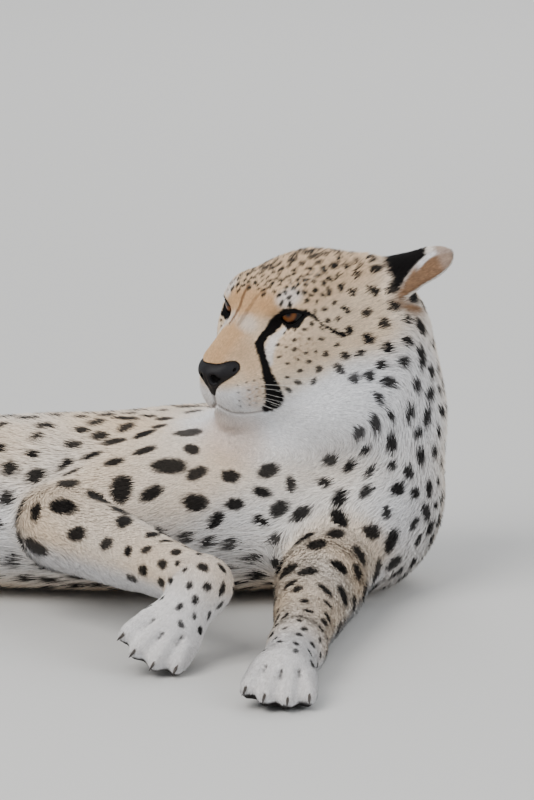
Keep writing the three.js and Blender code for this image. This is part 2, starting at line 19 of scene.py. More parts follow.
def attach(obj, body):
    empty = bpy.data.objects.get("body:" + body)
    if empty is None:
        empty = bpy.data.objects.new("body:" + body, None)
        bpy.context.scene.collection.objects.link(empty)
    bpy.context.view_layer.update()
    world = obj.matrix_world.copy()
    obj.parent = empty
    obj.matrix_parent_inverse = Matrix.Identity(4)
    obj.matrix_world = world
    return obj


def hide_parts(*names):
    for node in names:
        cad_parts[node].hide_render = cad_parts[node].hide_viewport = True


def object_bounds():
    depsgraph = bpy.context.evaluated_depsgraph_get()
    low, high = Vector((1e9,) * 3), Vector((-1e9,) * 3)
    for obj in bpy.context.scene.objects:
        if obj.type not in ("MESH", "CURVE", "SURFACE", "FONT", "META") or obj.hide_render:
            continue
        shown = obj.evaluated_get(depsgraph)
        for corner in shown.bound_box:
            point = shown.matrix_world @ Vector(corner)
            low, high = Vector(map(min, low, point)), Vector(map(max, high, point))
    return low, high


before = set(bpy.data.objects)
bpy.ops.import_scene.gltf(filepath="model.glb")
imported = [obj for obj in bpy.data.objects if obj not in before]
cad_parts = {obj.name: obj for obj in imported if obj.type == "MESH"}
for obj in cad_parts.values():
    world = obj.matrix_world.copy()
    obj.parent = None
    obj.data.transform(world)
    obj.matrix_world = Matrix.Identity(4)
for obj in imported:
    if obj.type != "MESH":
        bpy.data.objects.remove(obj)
cad_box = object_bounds()
rng = np.random.default_rng(7)
MM = 0.001


def vec(x, y, z):
    return np.array([x, y, z], float)


def unit(a):
    a = np.asarray(a, float)
    return a / np.maximum(np.linalg.norm(a, axis=-1, keepdims=True), 1e-9)


def step(low, high, x):
    """0 below low, 1 above high, smooth between."""
    t = np.clip((x - low) / (high - low), 0, 1)
    return t * t * (3 - 2 * t)


def mix(a, b, t):
    return a + (b - a) * t


def dist(p, a):
    return np.sqrt(((p - a) ** 2).sum(1))


def segment(p, a, b):
    """(share of the way from a to b, squared distance) of the nearest place between them."""
    axis = b - a
    t = np.clip((p - a) @ axis / (axis @ axis), 0, 1)
    return t, ((p - a - t[:, None] * axis) ** 2).sum(1)


# ---- distance fields


def melt(a, b, reach):
    """The nearer of two fields, blended where they are within reach of each other."""
    h = np.maximum(reach - np.abs(a - b), 0) / reach
    return np.minimum(a, b) - h * h * reach / 4


def carve(a, b, reach):
    """a with b taken out of it, the rim rounded."""
    return -melt(-a, b, reach)


class Shape:
    """A field, with a ball round its surface."""

    def __init__(self, field, middle, radius):
        self.field, self.middle, self.radius = field, np.asarray(middle, float), radius


def cone(a, b, ra, rb):
    """From a ball of radius ra at a to one of radius rb at b, straight between."""
    axis = b - a
    long = axis @ axis
    taper = ra - rb
    slope = long - taper * taper

    def field(p):
        q = p - a
        along = q @ axis
        past = along - long
        c = q * long - along[:, None] * axis
        across = (c * c).sum(1)
        near = along * along * long
        far = past * past * long
        k = math.copysign(1, taper) * taper * taper * across if taper else 0 * across
        d = (np.sqrt(across * slope / long) + along * taper) / long - ra
        d = np.where(np.sign(along) * slope * near < k, np.sqrt(across + near) / long - ra, d)
        return np.where(np.sign(past) * slope * far > k, np.sqrt(across + far) / long - rb, d)

    return Shape(field, (a + b) / 2, math.sqrt(long) / 2 + max(ra, rb))


def oval(centre, radii, ahead=(1, 0, 0), side=(0, 1, 0)):
    """An ellipsoid with its first radius ahead and its second to the side."""
    f = unit(ahead)
    s = np.asarray(side, float)
    s = unit(s - (s @ f) * f)
    turn = np.stack([f, s, np.cross(f, s)], 1)
    radii = np.asarray(radii, float)

    def field(p):
        q = (p - centre) @ turn / radii
        k0 = np.sqrt((q * q).sum(1))
        k1 = np.sqrt(((q / radii) ** 2).sum(1))
        return k0 * (k0 - 1) / np.maximum(k1, 1e-9)

    return Shape(field, centre, radii.max())


def barrel(stations):
    """Smooth along x through stations of (x, y, z, half-width, half-height)."""
    table = np.array(stations, float)
    xs = np.arange(table[0, 0], table[-1, 0] + 0.5, 1.0)
    rows = []
    for x in xs:
        i = int(np.clip(np.searchsorted(table[:, 0], x, "right") - 1, 0, len(table) - 2))
        p = table[np.clip([i - 1, i, i + 1, i + 2], 0, len(table) - 1)]
        t = (x - p[1, 0]) / (p[2, 0] - p[1, 0])
        m1, m2 = (p[2, 1:] - p[0, 1:]) / 2, (p[3, 1:] - p[1, 1:]) / 2
        t2, t3 = t * t, t * t * t
        rows.append(
            p[1, 1:] * (2 * t3 - 3 * t2 + 1)
            + m1 * (t3 - 2 * t2 + t)
            + p[2, 1:] * (3 * t2 - 2 * t3)
            + m2 * (t3 - t2)
        )
    rows = np.array(rows)

    def field(p):
        within = np.clip(p[:, 0], xs[0], xs[-1])
        cy, cz, wide, tall = (np.interp(within, xs, rows[:, c]) for c in range(4))
        small = np.minimum(wide, tall)
        a, b, c = (p[:, 1] - cy) / wide, (p[:, 2] - cz) / tall, (p[:, 0] - within) / small
        k0 = np.sqrt(a * a + b * b + c * c)
        k1 = np.sqrt((a / wide) ** 2 + (b / tall) ** 2 + (c / small) ** 2)
        return k0 * (k0 - 1) / np.maximum(k1, 1e-9)

    middle = vec((xs[0] + xs[-1]) / 2, 0, table[1, 2])
    return Shape(field, middle, (xs[-1] - xs[0]) / 2 + table[:, 3:].max() * 1.5)


def around(p):
    """(middle, radius) of a ball round the points."""
    low, high = p.min(0), p.max(0)
    return (low + high) / 2, np.linalg.norm(high - low) / 2


def gather(p, d, shape, reach):
    """d with the shape melted into it, where the shape comes near enough to matter."""
    near = dist(p, shape.middle) - shape.radius < d + reach
    if near.any():
        d[near] = melt(d[near], shape.field(p[near]), reach)
    return d


def flesh(reach, shapes):
    """Shapes melted into one."""
    def field(p):
        d = np.full(len(p), 1e4)
        middle, radius = around(p)
        for shape in shapes:
            clear = np.linalg.norm(shape.middle - middle) - shape.radius - radius
            if clear < d.max() + reach:
                d = gather(p, d, shape, reach)
        return d

    low = np.min([s.middle - s.radius for s in shapes], 0)
    high = np.max([s.middle + s.radius for s in shapes], 0)
    return Shape(field, (low + high) / 2, np.linalg.norm(high - low) / 2)


# ---- the animal

JOINTS = {
    "right": dict(
        shoulder=vec(-5, -30, 122), elbow=vec(-198, -142, 92), wrist=vec(-60, -310, 72),
        knuckles=vec(-88, -334, 36), toes=vec(-105, -366, 25), top=vec(0.42, -0.25, 0.87),
        hip=vec(-610, 15, 102), stifle=vec(-462, -190, 90), hock=vec(-640, -390, 58),
        sole=vec(-560, -478, 35), hind_toes=vec(-524, -518, 22), hind_top=vec(0.3, 0.25, 0.9),
    ),
    "left": dict(
        shoulder=vec(95, 45, 66), elbow=vec(52, -170, 42), wrist=vec(28, -388, 30),
        knuckles=vec(16, -462, 25), toes=vec(11, -500, 17), top=vec(0.12, 0, 0.99),
        hip=vec(-600, 20, 52), stifle=vec(-628, -220, 44), hock=vec(-842, -366, 25),
        sole=vec(-832, -484, 24), hind_toes=vec(-824, -532, 17), hind_top=vec(0.12, 0, 0.99),
    ),
}
RIGHT, LEFT_SIDE = JOINTS["right"], JOINTS["left"]
FORE_BONES = ("shoulder", "elbow", "wrist", "knuckles", "toes")
HIND_BONES = ("hip", "stifle", "hock", "sole", "hind_toes")

TURN, NOD = math.radians(48), math.radians(12)
BROW = vec(-9, -60, 283)
AHEAD = vec(-math.cos(TURN) * math.cos(NOD), -math.sin(TURN) * math.cos(NOD), -math.sin(NOD))
LEFT = vec(math.sin(TURN), -math.cos(TURN), 0)
UP = np.cross(AHEAD, LEFT)
HEAD_AXES = np.stack([AHEAD, LEFT, UP])


def on_head(f, l, u):
    """A place in the head's frame, in the scene's."""
    return BROW + np.array([f, l, u], float) @ HEAD_AXES


def head_oval(at, radii, aim=(1, 0, 0), side=(0, 1, 0)):
    return oval(on_head(*at), radii, np.array(aim) @ HEAD_AXES, np.array(side) @ HEAD_AXES)


def head_cone(a, b, ra, rb):
    return cone(on_head(*a), on_head(*b), ra, rb)


def head_flesh():
    shapes = [
        head_oval((-60, 0, -8), (66, 50, 42)),  # skull
        head_oval((-20, 0, -4), (34, 32, 28)),  # forehead
        head_oval((-108, 32, -4), (36, 28, 28)),  # back of the crown
        head_oval((-104, -30, -12), (36, 28, 28)),
        head_cone((0, 0, -5), (58, 0, -30), 23, 19),  # bridge of the nose
        head_oval((45, 0, -44), (31, 23, 22)),  # muzzle
        head_oval((54, 0, -67), (21, 17, 14)),  # lips
        head_oval((45, 0, -86), (23, 18, 17)),  # chin
    ]
    for m in (1, -1):
        shapes += [
            head_oval((-40, 30 * m, 3), (40, 25, 22)),  # temple
            head_oval((-34, 45 * m, -18), (42, 19, 24), (1, -0.22 * m, 0)),  # cheek bone
            head_oval((-46, 44 * m, -48), (56, 26, 46), (1, -0.25 * m, -0.15)),  # jaw muscle
            head_oval((6, 26 * m, -38), (40, 20, 27), (1, -0.5 * m, -0.35)),  # cheek
            head_oval((10, 27 * m, -62), (36, 17, 22), (1, -0.35 * m, -0.2)),  # corner of the mouth
            head_cone((-56, 34 * m, -68), (28, 12 * m, -82), 28, 17),  # lower jaw
            head_oval((44, 16 * m, -56), (28, 18, 21), (1, -0.2 * m, -0.05)),  # whisker pad
            head_oval((-16, 29 * m, 13), (22, 12, 9), (1, -0.7 * m, -0.1)),  # brow ridge
        ]
    return flesh(18, shapes)


EARS = [
    dict(root=on_head(-122, 54, -8), tip=on_head(-174, 95, 8),
         back=np.array((0.58, 0.03, 0.81)) @ HEAD_AXES),
    dict(root=on_head(-128, -54, -18), tip=on_head(-178, -90, -30),
         back=np.array((0.58, -0.03, 0.81)) @ HEAD_AXES),
]


def ear_oval(ear, along, ahead, thick, wide, sunk=0):
    """An oval on the ear's axis, ahead times the ear's length long, sunk from its back."""
    axis = ear["tip"] - ear["root"]
    middle = mix(ear["root"], ear["tip"], along) - ear["back"] * sunk
    return oval(middle, (np.linalg.norm(axis) * ahead, thick, wide), axis, ear["back"])


def ear_leaf(ear):
    """The ear's shape, wider at its base, before its cup is taken out."""
    base = oval(mix(ear["root"], ear["tip"], 0.14), (30, 15, 29), ear["tip"] - ear["root"], ear["back"])
    return flesh(10, [ear_oval(ear, 0.5, 0.6, 11, 24), base])


def neck_flesh():
    return flesh(40, [
        cone(on_head(-80, 0, -22), vec(84, 20, 236), 52, 70),
        cone(vec(84, 20, 236), vec(90, 24, 165), 70, 78),
        cone(vec(90, 24, 165), vec(82, 8, 97), 78, 88),
        oval(vec(52, -52, 180), (56, 46, 46)),
    ])


def trunk_flesh():
    return flesh(60, [
        barrel([
            (-715, 40, 62, 56, 54),
            (-640, 20, 73, 84, 74),
            (-540, 14, 78, 92, 80),
            (-430, 20, 80, 88, 80),
            (-320, 12, 80, 102, 83),
            (-200, 2, 83, 122, 87),
            (-90, -2, 83, 131, 87),
            (10, 0, 81, 124, 84),
            (80, 0, 76, 100, 76),
        ]),
        oval(vec(-30, 55, 112), (100, 62, 40), (1, -0.2, 0)),
        oval(vec(-610, 20, 106), (96, 84, 42), (1, -0.3, 0)),
    ])


# Across the foot and ahead of its tip, for each toe.
TOE_SPREAD = (-26, -9.5, 9.5, 26)
TOE_REACH = (-3, 8, 8, -3)


def toe_roots(start, tips, top):
    """Each toe's middle, the way it points and the way across it."""
    ahead = unit(tips - start)
    aside = unit(np.cross(ahead, top))
    return [
        dict(at=tips + aside * spread + ahead * reach, ahead=unit(ahead + aside * spread / 120),
             aside=aside)
        for spread, reach in zip(TOE_SPREAD, TOE_REACH)
    ]


def paw(start, tips, top):
    """A pad with four toes; top is the way that the foot's upper side faces."""
    roots = toe_roots(start, tips, top)
    pad = oval(mix(start, tips, 0.45), (40, 35, 21), roots[1]["ahead"], roots[1]["aside"])
    return flesh(8, [pad] + [oval(t["at"], (20, 10.5, 14), t["ahead"], t["aside"]) for t in roots])


def foreleg(j, thick):
    return flesh(12, [
        cone(j["shoulder"], j["elbow"], 62 * thick, 44),
        oval(mix(j["shoulder"], j["elbow"], 0.42), (112 * thick, 58 * thick, 50 * thick),
             j["elbow"] - j["shoulder"]),
        cone(j["elbow"], j["wrist"], 40, 26),
        cone(mix(j["elbow"], j["wrist"], 0.08), mix(j["elbow"], j["wrist"], 0.5), 43, 32),
        cone(j["wrist"], j["knuckles"], 28, 26),
        paw(j["knuckles"], j["toes"], j["top"]),
    ])


def hindleg(j, thick):
    return flesh(12, [
        cone(j["hip"], j["stifle"], 72 * thick, 52),
        oval(mix(j["hip"], j["stifle"], 0.45), (130, 82 * thick, 50 * thick),
             j["stifle"] - j["hip"]),
        cone(j["stifle"], j["hock"], 48, 24),
        cone(mix(j["stifle"], j["hock"], 0.05), mix(j["stifle"], j["hock"], 0.5), 50, 34),
        cone(j["hock"], j["sole"], 26, 24),
        paw(j["sole"], j["hind_toes"], j["hind_top"]),
    ])


TAIL = [
    vec(-700, 62, 62), vec(-790, 92, 42), vec(-900, 108, 30), vec(-1010, 100, 27),
    vec(-1120, 70, 26), vec(-1220, 22, 26), vec(-1310, -40, 27), vec(-1385, -110, 28),
]
TAIL_RADII = (40, 31, 28, 27, 26.5, 26.5, 28, 26)


def tail_flesh():
    ends = zip(TAIL[:-1], TAIL[1:], TAIL_RADII[:-1], TAIL_RADII[1:])
    return flesh(4, [cone(a, b, ra, rb) for a, b, ra, rb in ends])


CORE = flesh(48, [trunk_flesh(), neck_flesh()])
FACED = flesh(22, [CORE, head_flesh()])
EARED = flesh(14, [FACED] + [ear_leaf(ear) for ear in EARS])
LIMBS = [
    foreleg(RIGHT, 1), foreleg(LEFT_SIDE, 0.92), hindleg(RIGHT, 1), hindleg(LEFT_SIDE, 0.95),
    tail_flesh(),
]
LIMB_REACH = 34


def animal(p):
    """The whole outline: head, neck and trunk, with each limb and the tail melted into them."""
    d = EARED.field(p)
    joined = d.copy()
    for limb in LIMBS:
        near = dist(p, limb.middle) - limb.radius < joined + LIMB_REACH
        if near.any():
            grown = melt(d[near], limb.field(p[near]), LIMB_REACH)
            joined[near] = np.minimum(joined[near], grown)
    return joined


# ---- the coat's depth and the skin

MUZZLE = on_head(50, 0, -45)
COAT_DEPTH = 5.5  # over most of the body


def coat_depth(p):
    """How far the skin lies inside the coat's outline: less on the muzzle, the feet and the ears."""
    deep = mix(1.7, COAT_DEPTH, step(60, 190, dist(p, MUZZLE)))
    for j in (RIGHT, LEFT_SIDE):
        for end in (j["toes"], j["hind_toes"]):
            deep = np.minimum(deep, mix(1.8, COAT_DEPTH, step(50, 260, dist(p, end))))
    for ear in EARS:
        deep = np.minimum(deep, mix(2.2, COAT_DEPTH, step(36, 90, dist(p, ear["tip"]))))
    return deep


# The left eye; the right one mirrors it.
EYE_AT = (-15, 34, -2)
EYE_R = 15.5
LID = 1.7  # how thick the lids are
GAZE = (0.87, 0.33, 0.36)
LID_AIM = unit((0.85, 0.51, 0.09))  # the middle of the opening between the lids
LID_OUT = unit((-0.52, 0.85, 0.10))  # along the opening, towards its outer corner
LID_OUT = unit(LID_OUT - (LID_OUT @ LID_AIM) * LID_AIM)
LID_OVER = np.cross(LID_AIM, LID_OUT)
HALF_OPENING = 0.80  # radians
EYES = [
    dict(name=name, m=m, centre=on_head(EYE_AT[0], EYE_AT[1] * m, EYE_AT[2]),
         gaze=unit(np.array([GAZE[0], GAZE[1] * m, GAZE[2]]) @ HEAD_AXES))
    for name, m in (("left", 1), ("right", -1))
]


def head_place(p):
    """(f, l, u) of each point."""
    return (p - BROW) @ HEAD_AXES.T


def eye_angles(p, eye):
    """(outwards, upwards) in radians round the eyeball from the middle of the opening, and the
    share of the way ahead."""
    q = unit(head_place(p) * (1, eye["m"], 1) - EYE_AT)
    ahead = q @ LID_AIM
    return np.arctan2(q @ LID_OUT, ahead), np.arcsin(np.clip(q @ LID_OVER, -1, 1)), ahead


def lid_top(t):
    """The upper lid's edge over the opening's middle line, from its inner (-1) to its outer end."""
    return 0.37 * (1 - t * t) ** 0.7


def lid_low(t):
    """The same for the lower lid's edge."""
    return -0.45 * (1 - t * t) * (1 - 0.3 * t)


def slit(p, eye):
    """Below 0 in the opening between the lids, in millimetres at the eyeball."""
    across, height, ahead = eye_angles(p, eye)
    t = np.clip(across / HALF_OPENING, -1, 1)
    inside = np.maximum(height - lid_top(t), lid_low(t) - height)
    inside = np.maximum(inside, np.abs(across) - HALF_OPENING)
    return np.where(ahead > 0, inside, 1.0) * EYE_R


def bare_flesh(p):
    """The skin without cuts."""
    return animal(p) + coat_depth(p)


def on_surface(p, field):
    """Places near a surface, moved on to it."""
    probe = np.concatenate([np.eye(3), -np.eye(3)]) * 0.5
    for _ in range(5):
        d = field((p[:, None] + probe).reshape(-1, 3)).reshape(-1, 6)
        p = p - unit(d[:, :3] - d[:, 3:]) * field(p)[:, None]
    return p


def settled(places, field):
    """on_surface for places in the head's frame."""
    return head_place(on_surface(np.array([on_head(*place) for place in places]), field))


MOUTH = [(76, 0, -66), (73, 5, -70), (67, 11, -75), (58, 18, -80), (47, 25, -82), (37, 29, -83)]


def mouth_lines():
    """The (start, end) of each stretch of the lips, both sides, and of the groove over them."""
    lines = []
    lips = settled(MOUTH, bare_flesh)
    for m in (1, -1):
        points = [on_head(f, l * m, u) for f, l, u in lips]
        lines += list(zip(points[:-1], points[1:]))
    under_nose = settled([(77, 0, -54), MOUTH[0]], bare_flesh)
    lines.append((on_head(*under_nose[0]), on_head(*under_nose[1])))
    return lines


MOUTH_LINES = mouth_lines()


def to_lines(p, lines):
    """The distance to the nearest of some straight lines."""
    d = np.full(len(p), 1e4)
    for a, b in lines:
        d = np.minimum(d, np.sqrt(segment(p, a, b)[1]))
    return d


def open_lids(p, d, eye):
    """Puts lids over the eyeball in d and opens them."""
    away = dist(p, eye["centre"])
    near = away < EYE_R + 30
    q, a = p[near], away[near]
    inner = head_oval((7, 33 * eye["m"], -6), (10, 6, 6), (1, -0.2 * eye["m"], -0.3)).field(q)
    lidded = melt(carve(d[near], inner, 13), a - (EYE_R + LID), 5)
    opening = np.maximum(slit(q, eye), np.abs(a - EYE_R - 1) - 5)
    lidded = carve(lidded, opening, 1.6)
    d[near] = np.maximum(lidded, EYE_R + 0.35 - a)


def open_ear(p, d, ear):
    """Takes the ear's cup out of d."""
    cup = ear_oval(ear, 0.52, 0.44, 9, 20, 9)
    near = dist(p, cup.middle) < cup.radius + 14
    d[near] = carve(d[near], cup.field(p[near]), 5)


def face_cuts(p, d):
    """Lids round the eyes, the mouth line, and the hollows of the ears."""
    for eye in EYES:
        open_lids(p, d, eye)
    near = dist(p, MUZZLE) < 62
    d[near] = carve(d[near], to_lines(p[near], MOUTH_LINES) - 1.5, 3.0)
    for ear in EARS:
        open_ear(p, d, ear)
    return d


def paws():
    """(knuckles, toe tips, top of the foot) of each foot."""
    for j in (RIGHT, LEFT_SIDE):
        yield j["knuckles"], j["toes"], j["top"]
        yield j["sole"], j["hind_toes"], j["hind_top"]


TOE_GAP = ((-16, 14), (4, 14), (15, 9), (21, -2), (19, -12))  # (ahead, up) over the toes


def toe_lines(start, tips, top):
    """Lines over the gaps between the toes."""
    toes = toe_roots(start, tips, top)
    lines = []
    for one, other in zip(toes[:-1], toes[1:]):
        middle, ahead = (one["at"] + other["at"]) / 2, unit(one["ahead"] + other["ahead"])
        path = [middle + ahead * along + unit(top) * high for along, high in TOE_GAP]
        lines += list(zip(path[:-1], path[1:]))
    return lines


def toe_cuts(p, d):
    for start, tips, top in paws():
        near = dist(p, tips) < 70
        d[near] = carve(d[near], to_lines(p[near], toe_lines(start, tips, top)) - 2.4, 5)
    return d


def skin_field(p):
    """The skin with its lids, mouth, ears' hollows and toes."""
    return toe_cuts(p, face_cuts(p, bare_flesh(p)))


def nose_mass(p):
    """The nose leather without its nostrils."""
    shapes = [head_oval((71, 0, -35), (13, 16, 11)), head_cone((72, 0, -40), (74.5, 0, -54), 10, 3)]
    for m in (1, -1):
        shapes.append(head_oval((64, 14 * m, -33), (12, 8, 9), (1, -0.35 * m, 0)))
    return flesh(6, shapes).field(p)


def nose_field(p):
    """The same with nostrils, the slits beside them and the groove between."""
    d = nose_mass(p)
    for m in (1, -1):
        d = carve(d, head_oval((82, 7.5 * m, -38), (8, 4.2, 5), (1, 0.25 * m, 0.1)).field(p), 3)
        d = carve(d, head_cone((76, 11 * m, -37), (64, 20.5 * m, -32), 2.2, 1.5).field(p), 2)
    return carve(d, to_lines(p, [(on_head(86, 0, -32), on_head(78, 0, -58))]) - 1.1, 2)


# ---- meshing

BLOCK = 7


def sample(field, low, high, cell):
    """The field on a grid, worked out only in the blocks that the surface can pass through."""
    count = np.ceil((np.array(high) - low) / cell / BLOCK).astype(int)
    grid = np.empty(count * BLOCK + 1, np.float32)
    index = np.stack(np.meshgrid(*[np.arange(c) for c in count], indexing="ij"), -1)
    corners = index.reshape(-1, 3) * BLOCK
    centre = field(low + (corners + BLOCK / 2) * cell)
    reach = BLOCK * cell * math.sqrt(3) / 2 * 1.15 + 3  # half a block's diagonal, and some slack
    far = 3.0 * cell
    offset = np.stack(np.meshgrid(*[np.arange(BLOCK + 1)] * 3, indexing="ij"), -1).reshape(-1, 3)
    for (i, j, k), value in zip(corners, centre):
        fill = far if value > 0 else -far
        grid[i : i + BLOCK + 1, j : j + BLOCK + 1, k : k + BLOCK + 1] = fill
    active = corners[np.abs(centre) < reach]
    groups = np.array_split(active, max(len(active) // 64, 1))
    points = [(some[:, None, :] + offset[None]).reshape(-1, 3) for some in groups]
    with ThreadPoolExecutor(4) as pool:
        found = pool.map(lambda at: np.clip(field(low + at * cell), -far, far), points)
        for at, values in zip(points, found):
            grid[at[:, 0], at[:, 1], at[:, 2]] = values
    return grid


def surface(field, low, high, cell):
    """(points, quads) of the field's zero surface."""
    low = np.array(low, float)
    volume = openvdb.FloatGrid(background=1.0)
    volume.copyFromArray(sample(field, low, high, cell))
    points, _, quads = volume.convertToPolygons(isovalue=0.0, adaptivity=0.0)
    return low + points * cell, quads


def keep_where(points, faces, keep):
    """The faces all of whose corners are kept, with their points numbered again."""
    faces = faces[keep[faces].all(1)]
    used = np.zeros(len(points), bool)
    used[faces] = True
    number = np.cumsum(used) - 1
    return points[used], number[faces]


def add_object(name, data):
    thing = bpy.data.objects.new(name, data)
    bpy.context.scene.collection.objects.link(thing)
    return thing


def make_mesh(name, points, faces):
    mesh = bpy.data.meshes.new(name)
    sides = faces.shape[1]
    mesh.vertices.add(len(points))
    mesh.vertices.foreach_set("co", np.asarray(points * MM, np.float32).ravel())
    mesh.loops.add(faces.size)
    mesh.loops.foreach_set("vertex_index", np.asarray(faces, np.int32).ravel())
    mesh.polygons.add(len(faces))
    mesh.polygons.foreach_set("loop_start", np.arange(0, faces.size, sides, dtype=np.int32))
    mesh.update(calc_edges=True)
    mesh.polygons.foreach_set("use_smooth", np.ones(len(faces), bool))
    return add_object(name, mesh)


def face_corners(thing):
    """The vertex at each corner of each face, in order."""
    corner = np.empty(len(thing.data.loops), np.int32)
    thing.data.loops.foreach_get("vertex_index", corner)
    return corner


def vertex_normals(thing):
    normals = np.empty(len(thing.data.vertices) * 3, np.float32)
    thing.data.vertices.foreach_get("normal", normals)
    return normals.reshape(-1, 3).astype(float)


HEAD_CELL, BODY_CELL = 1.15, 3.6
HEAD_BOX = BROW - (96, 75, 140), BROW + (196, 170, 66)
BODY_BOX = (-1430, -600, -12), (215, 185, 385)
HEAD_END, BODY_END = -7, 3  # where the two skins end, as head_side gives it
FLOOR_GAP = 0.6


def head_side(p):
    """Above 0 over a slanting cut through the neck, just under the chin."""
    over = (p - vec(-30, -93, 167)) @ unit(vec(-0.15, -0.15, 0.98))
    return np.minimum(over, p[:, 0] + 95)


def head_skin():
    """The fine skin of the head, its edge sunk under the body's."""
    fine, fine_quads = surface(skin_field, *HEAD_BOX, HEAD_CELL)
    points, quads = keep_where(fine, fine_quads, head_side(fine) > HEAD_END)
    draft = make_mesh("draft", points, quads)
    sink = step(0, HEAD_END, head_side(points)) * 0.9
    points = points - vertex_normals(draft) * sink[:, None]
    bpy.data.objects.remove(draft)
    return points, quads


def body_skin():
    """The coarser skin of the rest, kept over the floor."""
    coarse, quads = surface(skin_field, *BODY_BOX, BODY_CELL)
    coarse[:, 2] = np.maximum(coarse[:, 2], FLOOR_GAP)
    return keep_where(coarse, quads, head_side(coarse) < BODY_END)


def build_skin():
    head_points, head_quads = head_skin()
    body_points, body_quads = body_skin()
    points = np.concatenate([body_points, head_points])
    quads = np.concatenate([body_quads, head_quads + len(body_points)])
    return make_mesh("skin", points, quads)


def pad_whiskers():
    """(root in the head's frame, direction, length) of each whisker, in four rows a side."""
    out = []
    for m in (1, -1):
        for row in range(4):
            for n in range(6 - row % 2):
                root = (60 - 6.0 * n, (17 + 2.6 * n) * m, -50 - 5.0 * row)
                aim = (-0.35 - 0.12 * n, (0.9 - 0.05 * n) * m, -0.15 - 0.16 * row)
                aim = unit(unit(aim) + rng.normal(0, 0.05, 3))
                out.append((root, aim, rng.uniform(48, 78) * (1 - 0.09 * row)))
    return out


def brow_hairs():
    """The same for the few hairs over each eye."""
    out = []
    for m in (1, -1):
        for n in range(4):
            root = (-2.0 - 5 * n, (32 + 2 * n) * m, 15.0)
            aim = unit((-0.1 - 0.25 * n, 0.45 * m, 0.9))
            out.append((root, aim, rng.uniform(24, 36)))
    return out


WHISKERS, BROW_HAIRS = pad_whiskers(), brow_hairs()


# ---- the lie of the coat

NECK_LINE = [on_head(-105, 0, 5), vec(105, 30, 235), vec(98, 26, 165), vec(55, 10, 100)]
TRUNK_LINE = [
    vec(70, 0, 80), vec(-90, 0, 83), vec(-320, 10, 80), vec(-540, 12, 78), vec(-715, 45, 62),
]


def bone_chains():
    """(points along the bones in the way that the hair runs, the flesh's radius at each)."""
    yield NECK_LINE, (50, 62, 70, 76)
    yield TRUNK_LINE, (84, 88, 84, 84, 54)
    yield TAIL, TAIL_RADII
    for j in (RIGHT, LEFT_SIDE):
        yield [j[name] for name in FORE_BONES], (60, 42, 27, 24, 18)
        yield [j[name] for name in HIND_BONES], (80, 50, 25, 24, 18)


def lie_samples():
    """Places along the bones, each with the way that the hair runs there and the flesh's radius."""
    places, ways, radii = [], [], []
    for points, sizes in bone_chains():
        for a, b, ra, rb in zip(points[:-1], points[1:], sizes[:-1], sizes[1:]):
            count = max(int(np.linalg.norm(b - a) / 14), 2)
            for t in (np.arange(count) + 0.5) / count:
                places.append(mix(a, b, t))
                ways.append(unit(b - a))
                radii.append(mix(ra, rb, t))
    return np.array(places), np.array(ways), np.array(radii)


LIE_PLACES, LIE_WAYS, LIE_RADII = lie_samples()
NOSE_TIP = on_head(92, 0, -44)
CHUNK = 20000  # points taken at a time, to save memory


def head_share(p):
    """1 on the head, fading to 0 on the neck."""
    return 1 - step(95, 150, dist(p, on_head(-25, 0, -30)))


def lie(p, normals):
    """The way that the hair runs at each point, along the skin."""
    way = np.zeros_like(p)
    for first in range(0, len(p), CHUNK):
        q = p[first : first + CHUNK]
        away = np.sqrt(((q[:, None] - LIE_PLACES) ** 2).sum(2)) - LIE_RADII
        weight = 1 / (np.maximum(away, 0) + 14) ** 4
        way[first : first + CHUNK] = unit(weight @ LIE_WAYS)
    on_face = unit(unit(p - NOSE_TIP) - 0.7 * AHEAD)
    way = mix(way, on_face, head_share(p)[:, None])
    for ear in EARS:
        share = 1 - step(34, 52, dist(p, mix(ear["root"], ear["tip"], 0.6)))
        way = mix(way, unit(ear["tip"] - ear["root"]), share[:, None])
    way = way - (way * normals).sum(1)[:, None] * normals
    return unit(way)


# ---- markings


def ripple(p, length, seed=0.0):
    """A smooth wave in -1 to 1 with about that wavelength."""
    k = 2 * math.pi / length
    x, y, z = (p * k).T
    a = np.sin(x + 1.7 * np.sin(0.61 * y + seed) + seed)
    b = np.sin(y * 1.13 + 1.5 * np.sin(0.57 * z + 2 * seed) + 1.3)
    c = np.sin(z * 0.93 + 1.6 * np.sin(0.67 * x + seed) + 2.1)
    return (a + b + c) / 3


def shares(p):
    """How much each point belongs to head and trunk (0), the limbs (1 to 4) and the tail (5)."""
    fields = np.stack([EARED.field(p) - 6] + [limb.field(p) for limb in LIMBS])
    weight = np.exp(-(fields - fields.min(0)) / 7)
    return weight / weight.sum(0)


FORE, HIND = ("shoulder", "elbow", "wrist", "toes"), ("hip", "stifle", "hock", "hind_toes")
CHAINS = [[j[name] for name in names] for names in (FORE, HIND) for j in (RIGHT, LEFT_SIDE)]


def limb_reach(p):
    """(shares, and 0 at the shoulder or hip, 1 at the elbow or knee, 2 at the wrist or hock, 3 at
    the toes of the limb that has the largest share)."""
    weight = shares(p)
    limb = weight[1:5].argmax(0) + 1
    out = np.zeros(len(p))
    for number, chain in enumerate(CHAINS, 1):
        mine = limb == number
        best = np.full(mine.sum(), 1e9)
        reach = np.zeros(mine.sum())
        for i, (a, b) in enumerate(zip(chain[:-1], chain[1:])):
            t, away = segment(p[mine], a, b)
            reach = np.where(away < best, i + t, reach)
            best = np.minimum(best, away)
        out[mine] = reach
    return weight, out


def srgb(r, g, b):
    """The linear colour of a screen colour."""
    c = np.array([r, g, b]) / 255
    return np.where(c <= 0.04045, c / 12.92, ((c + 0.055) / 1.055) ** 2.4)


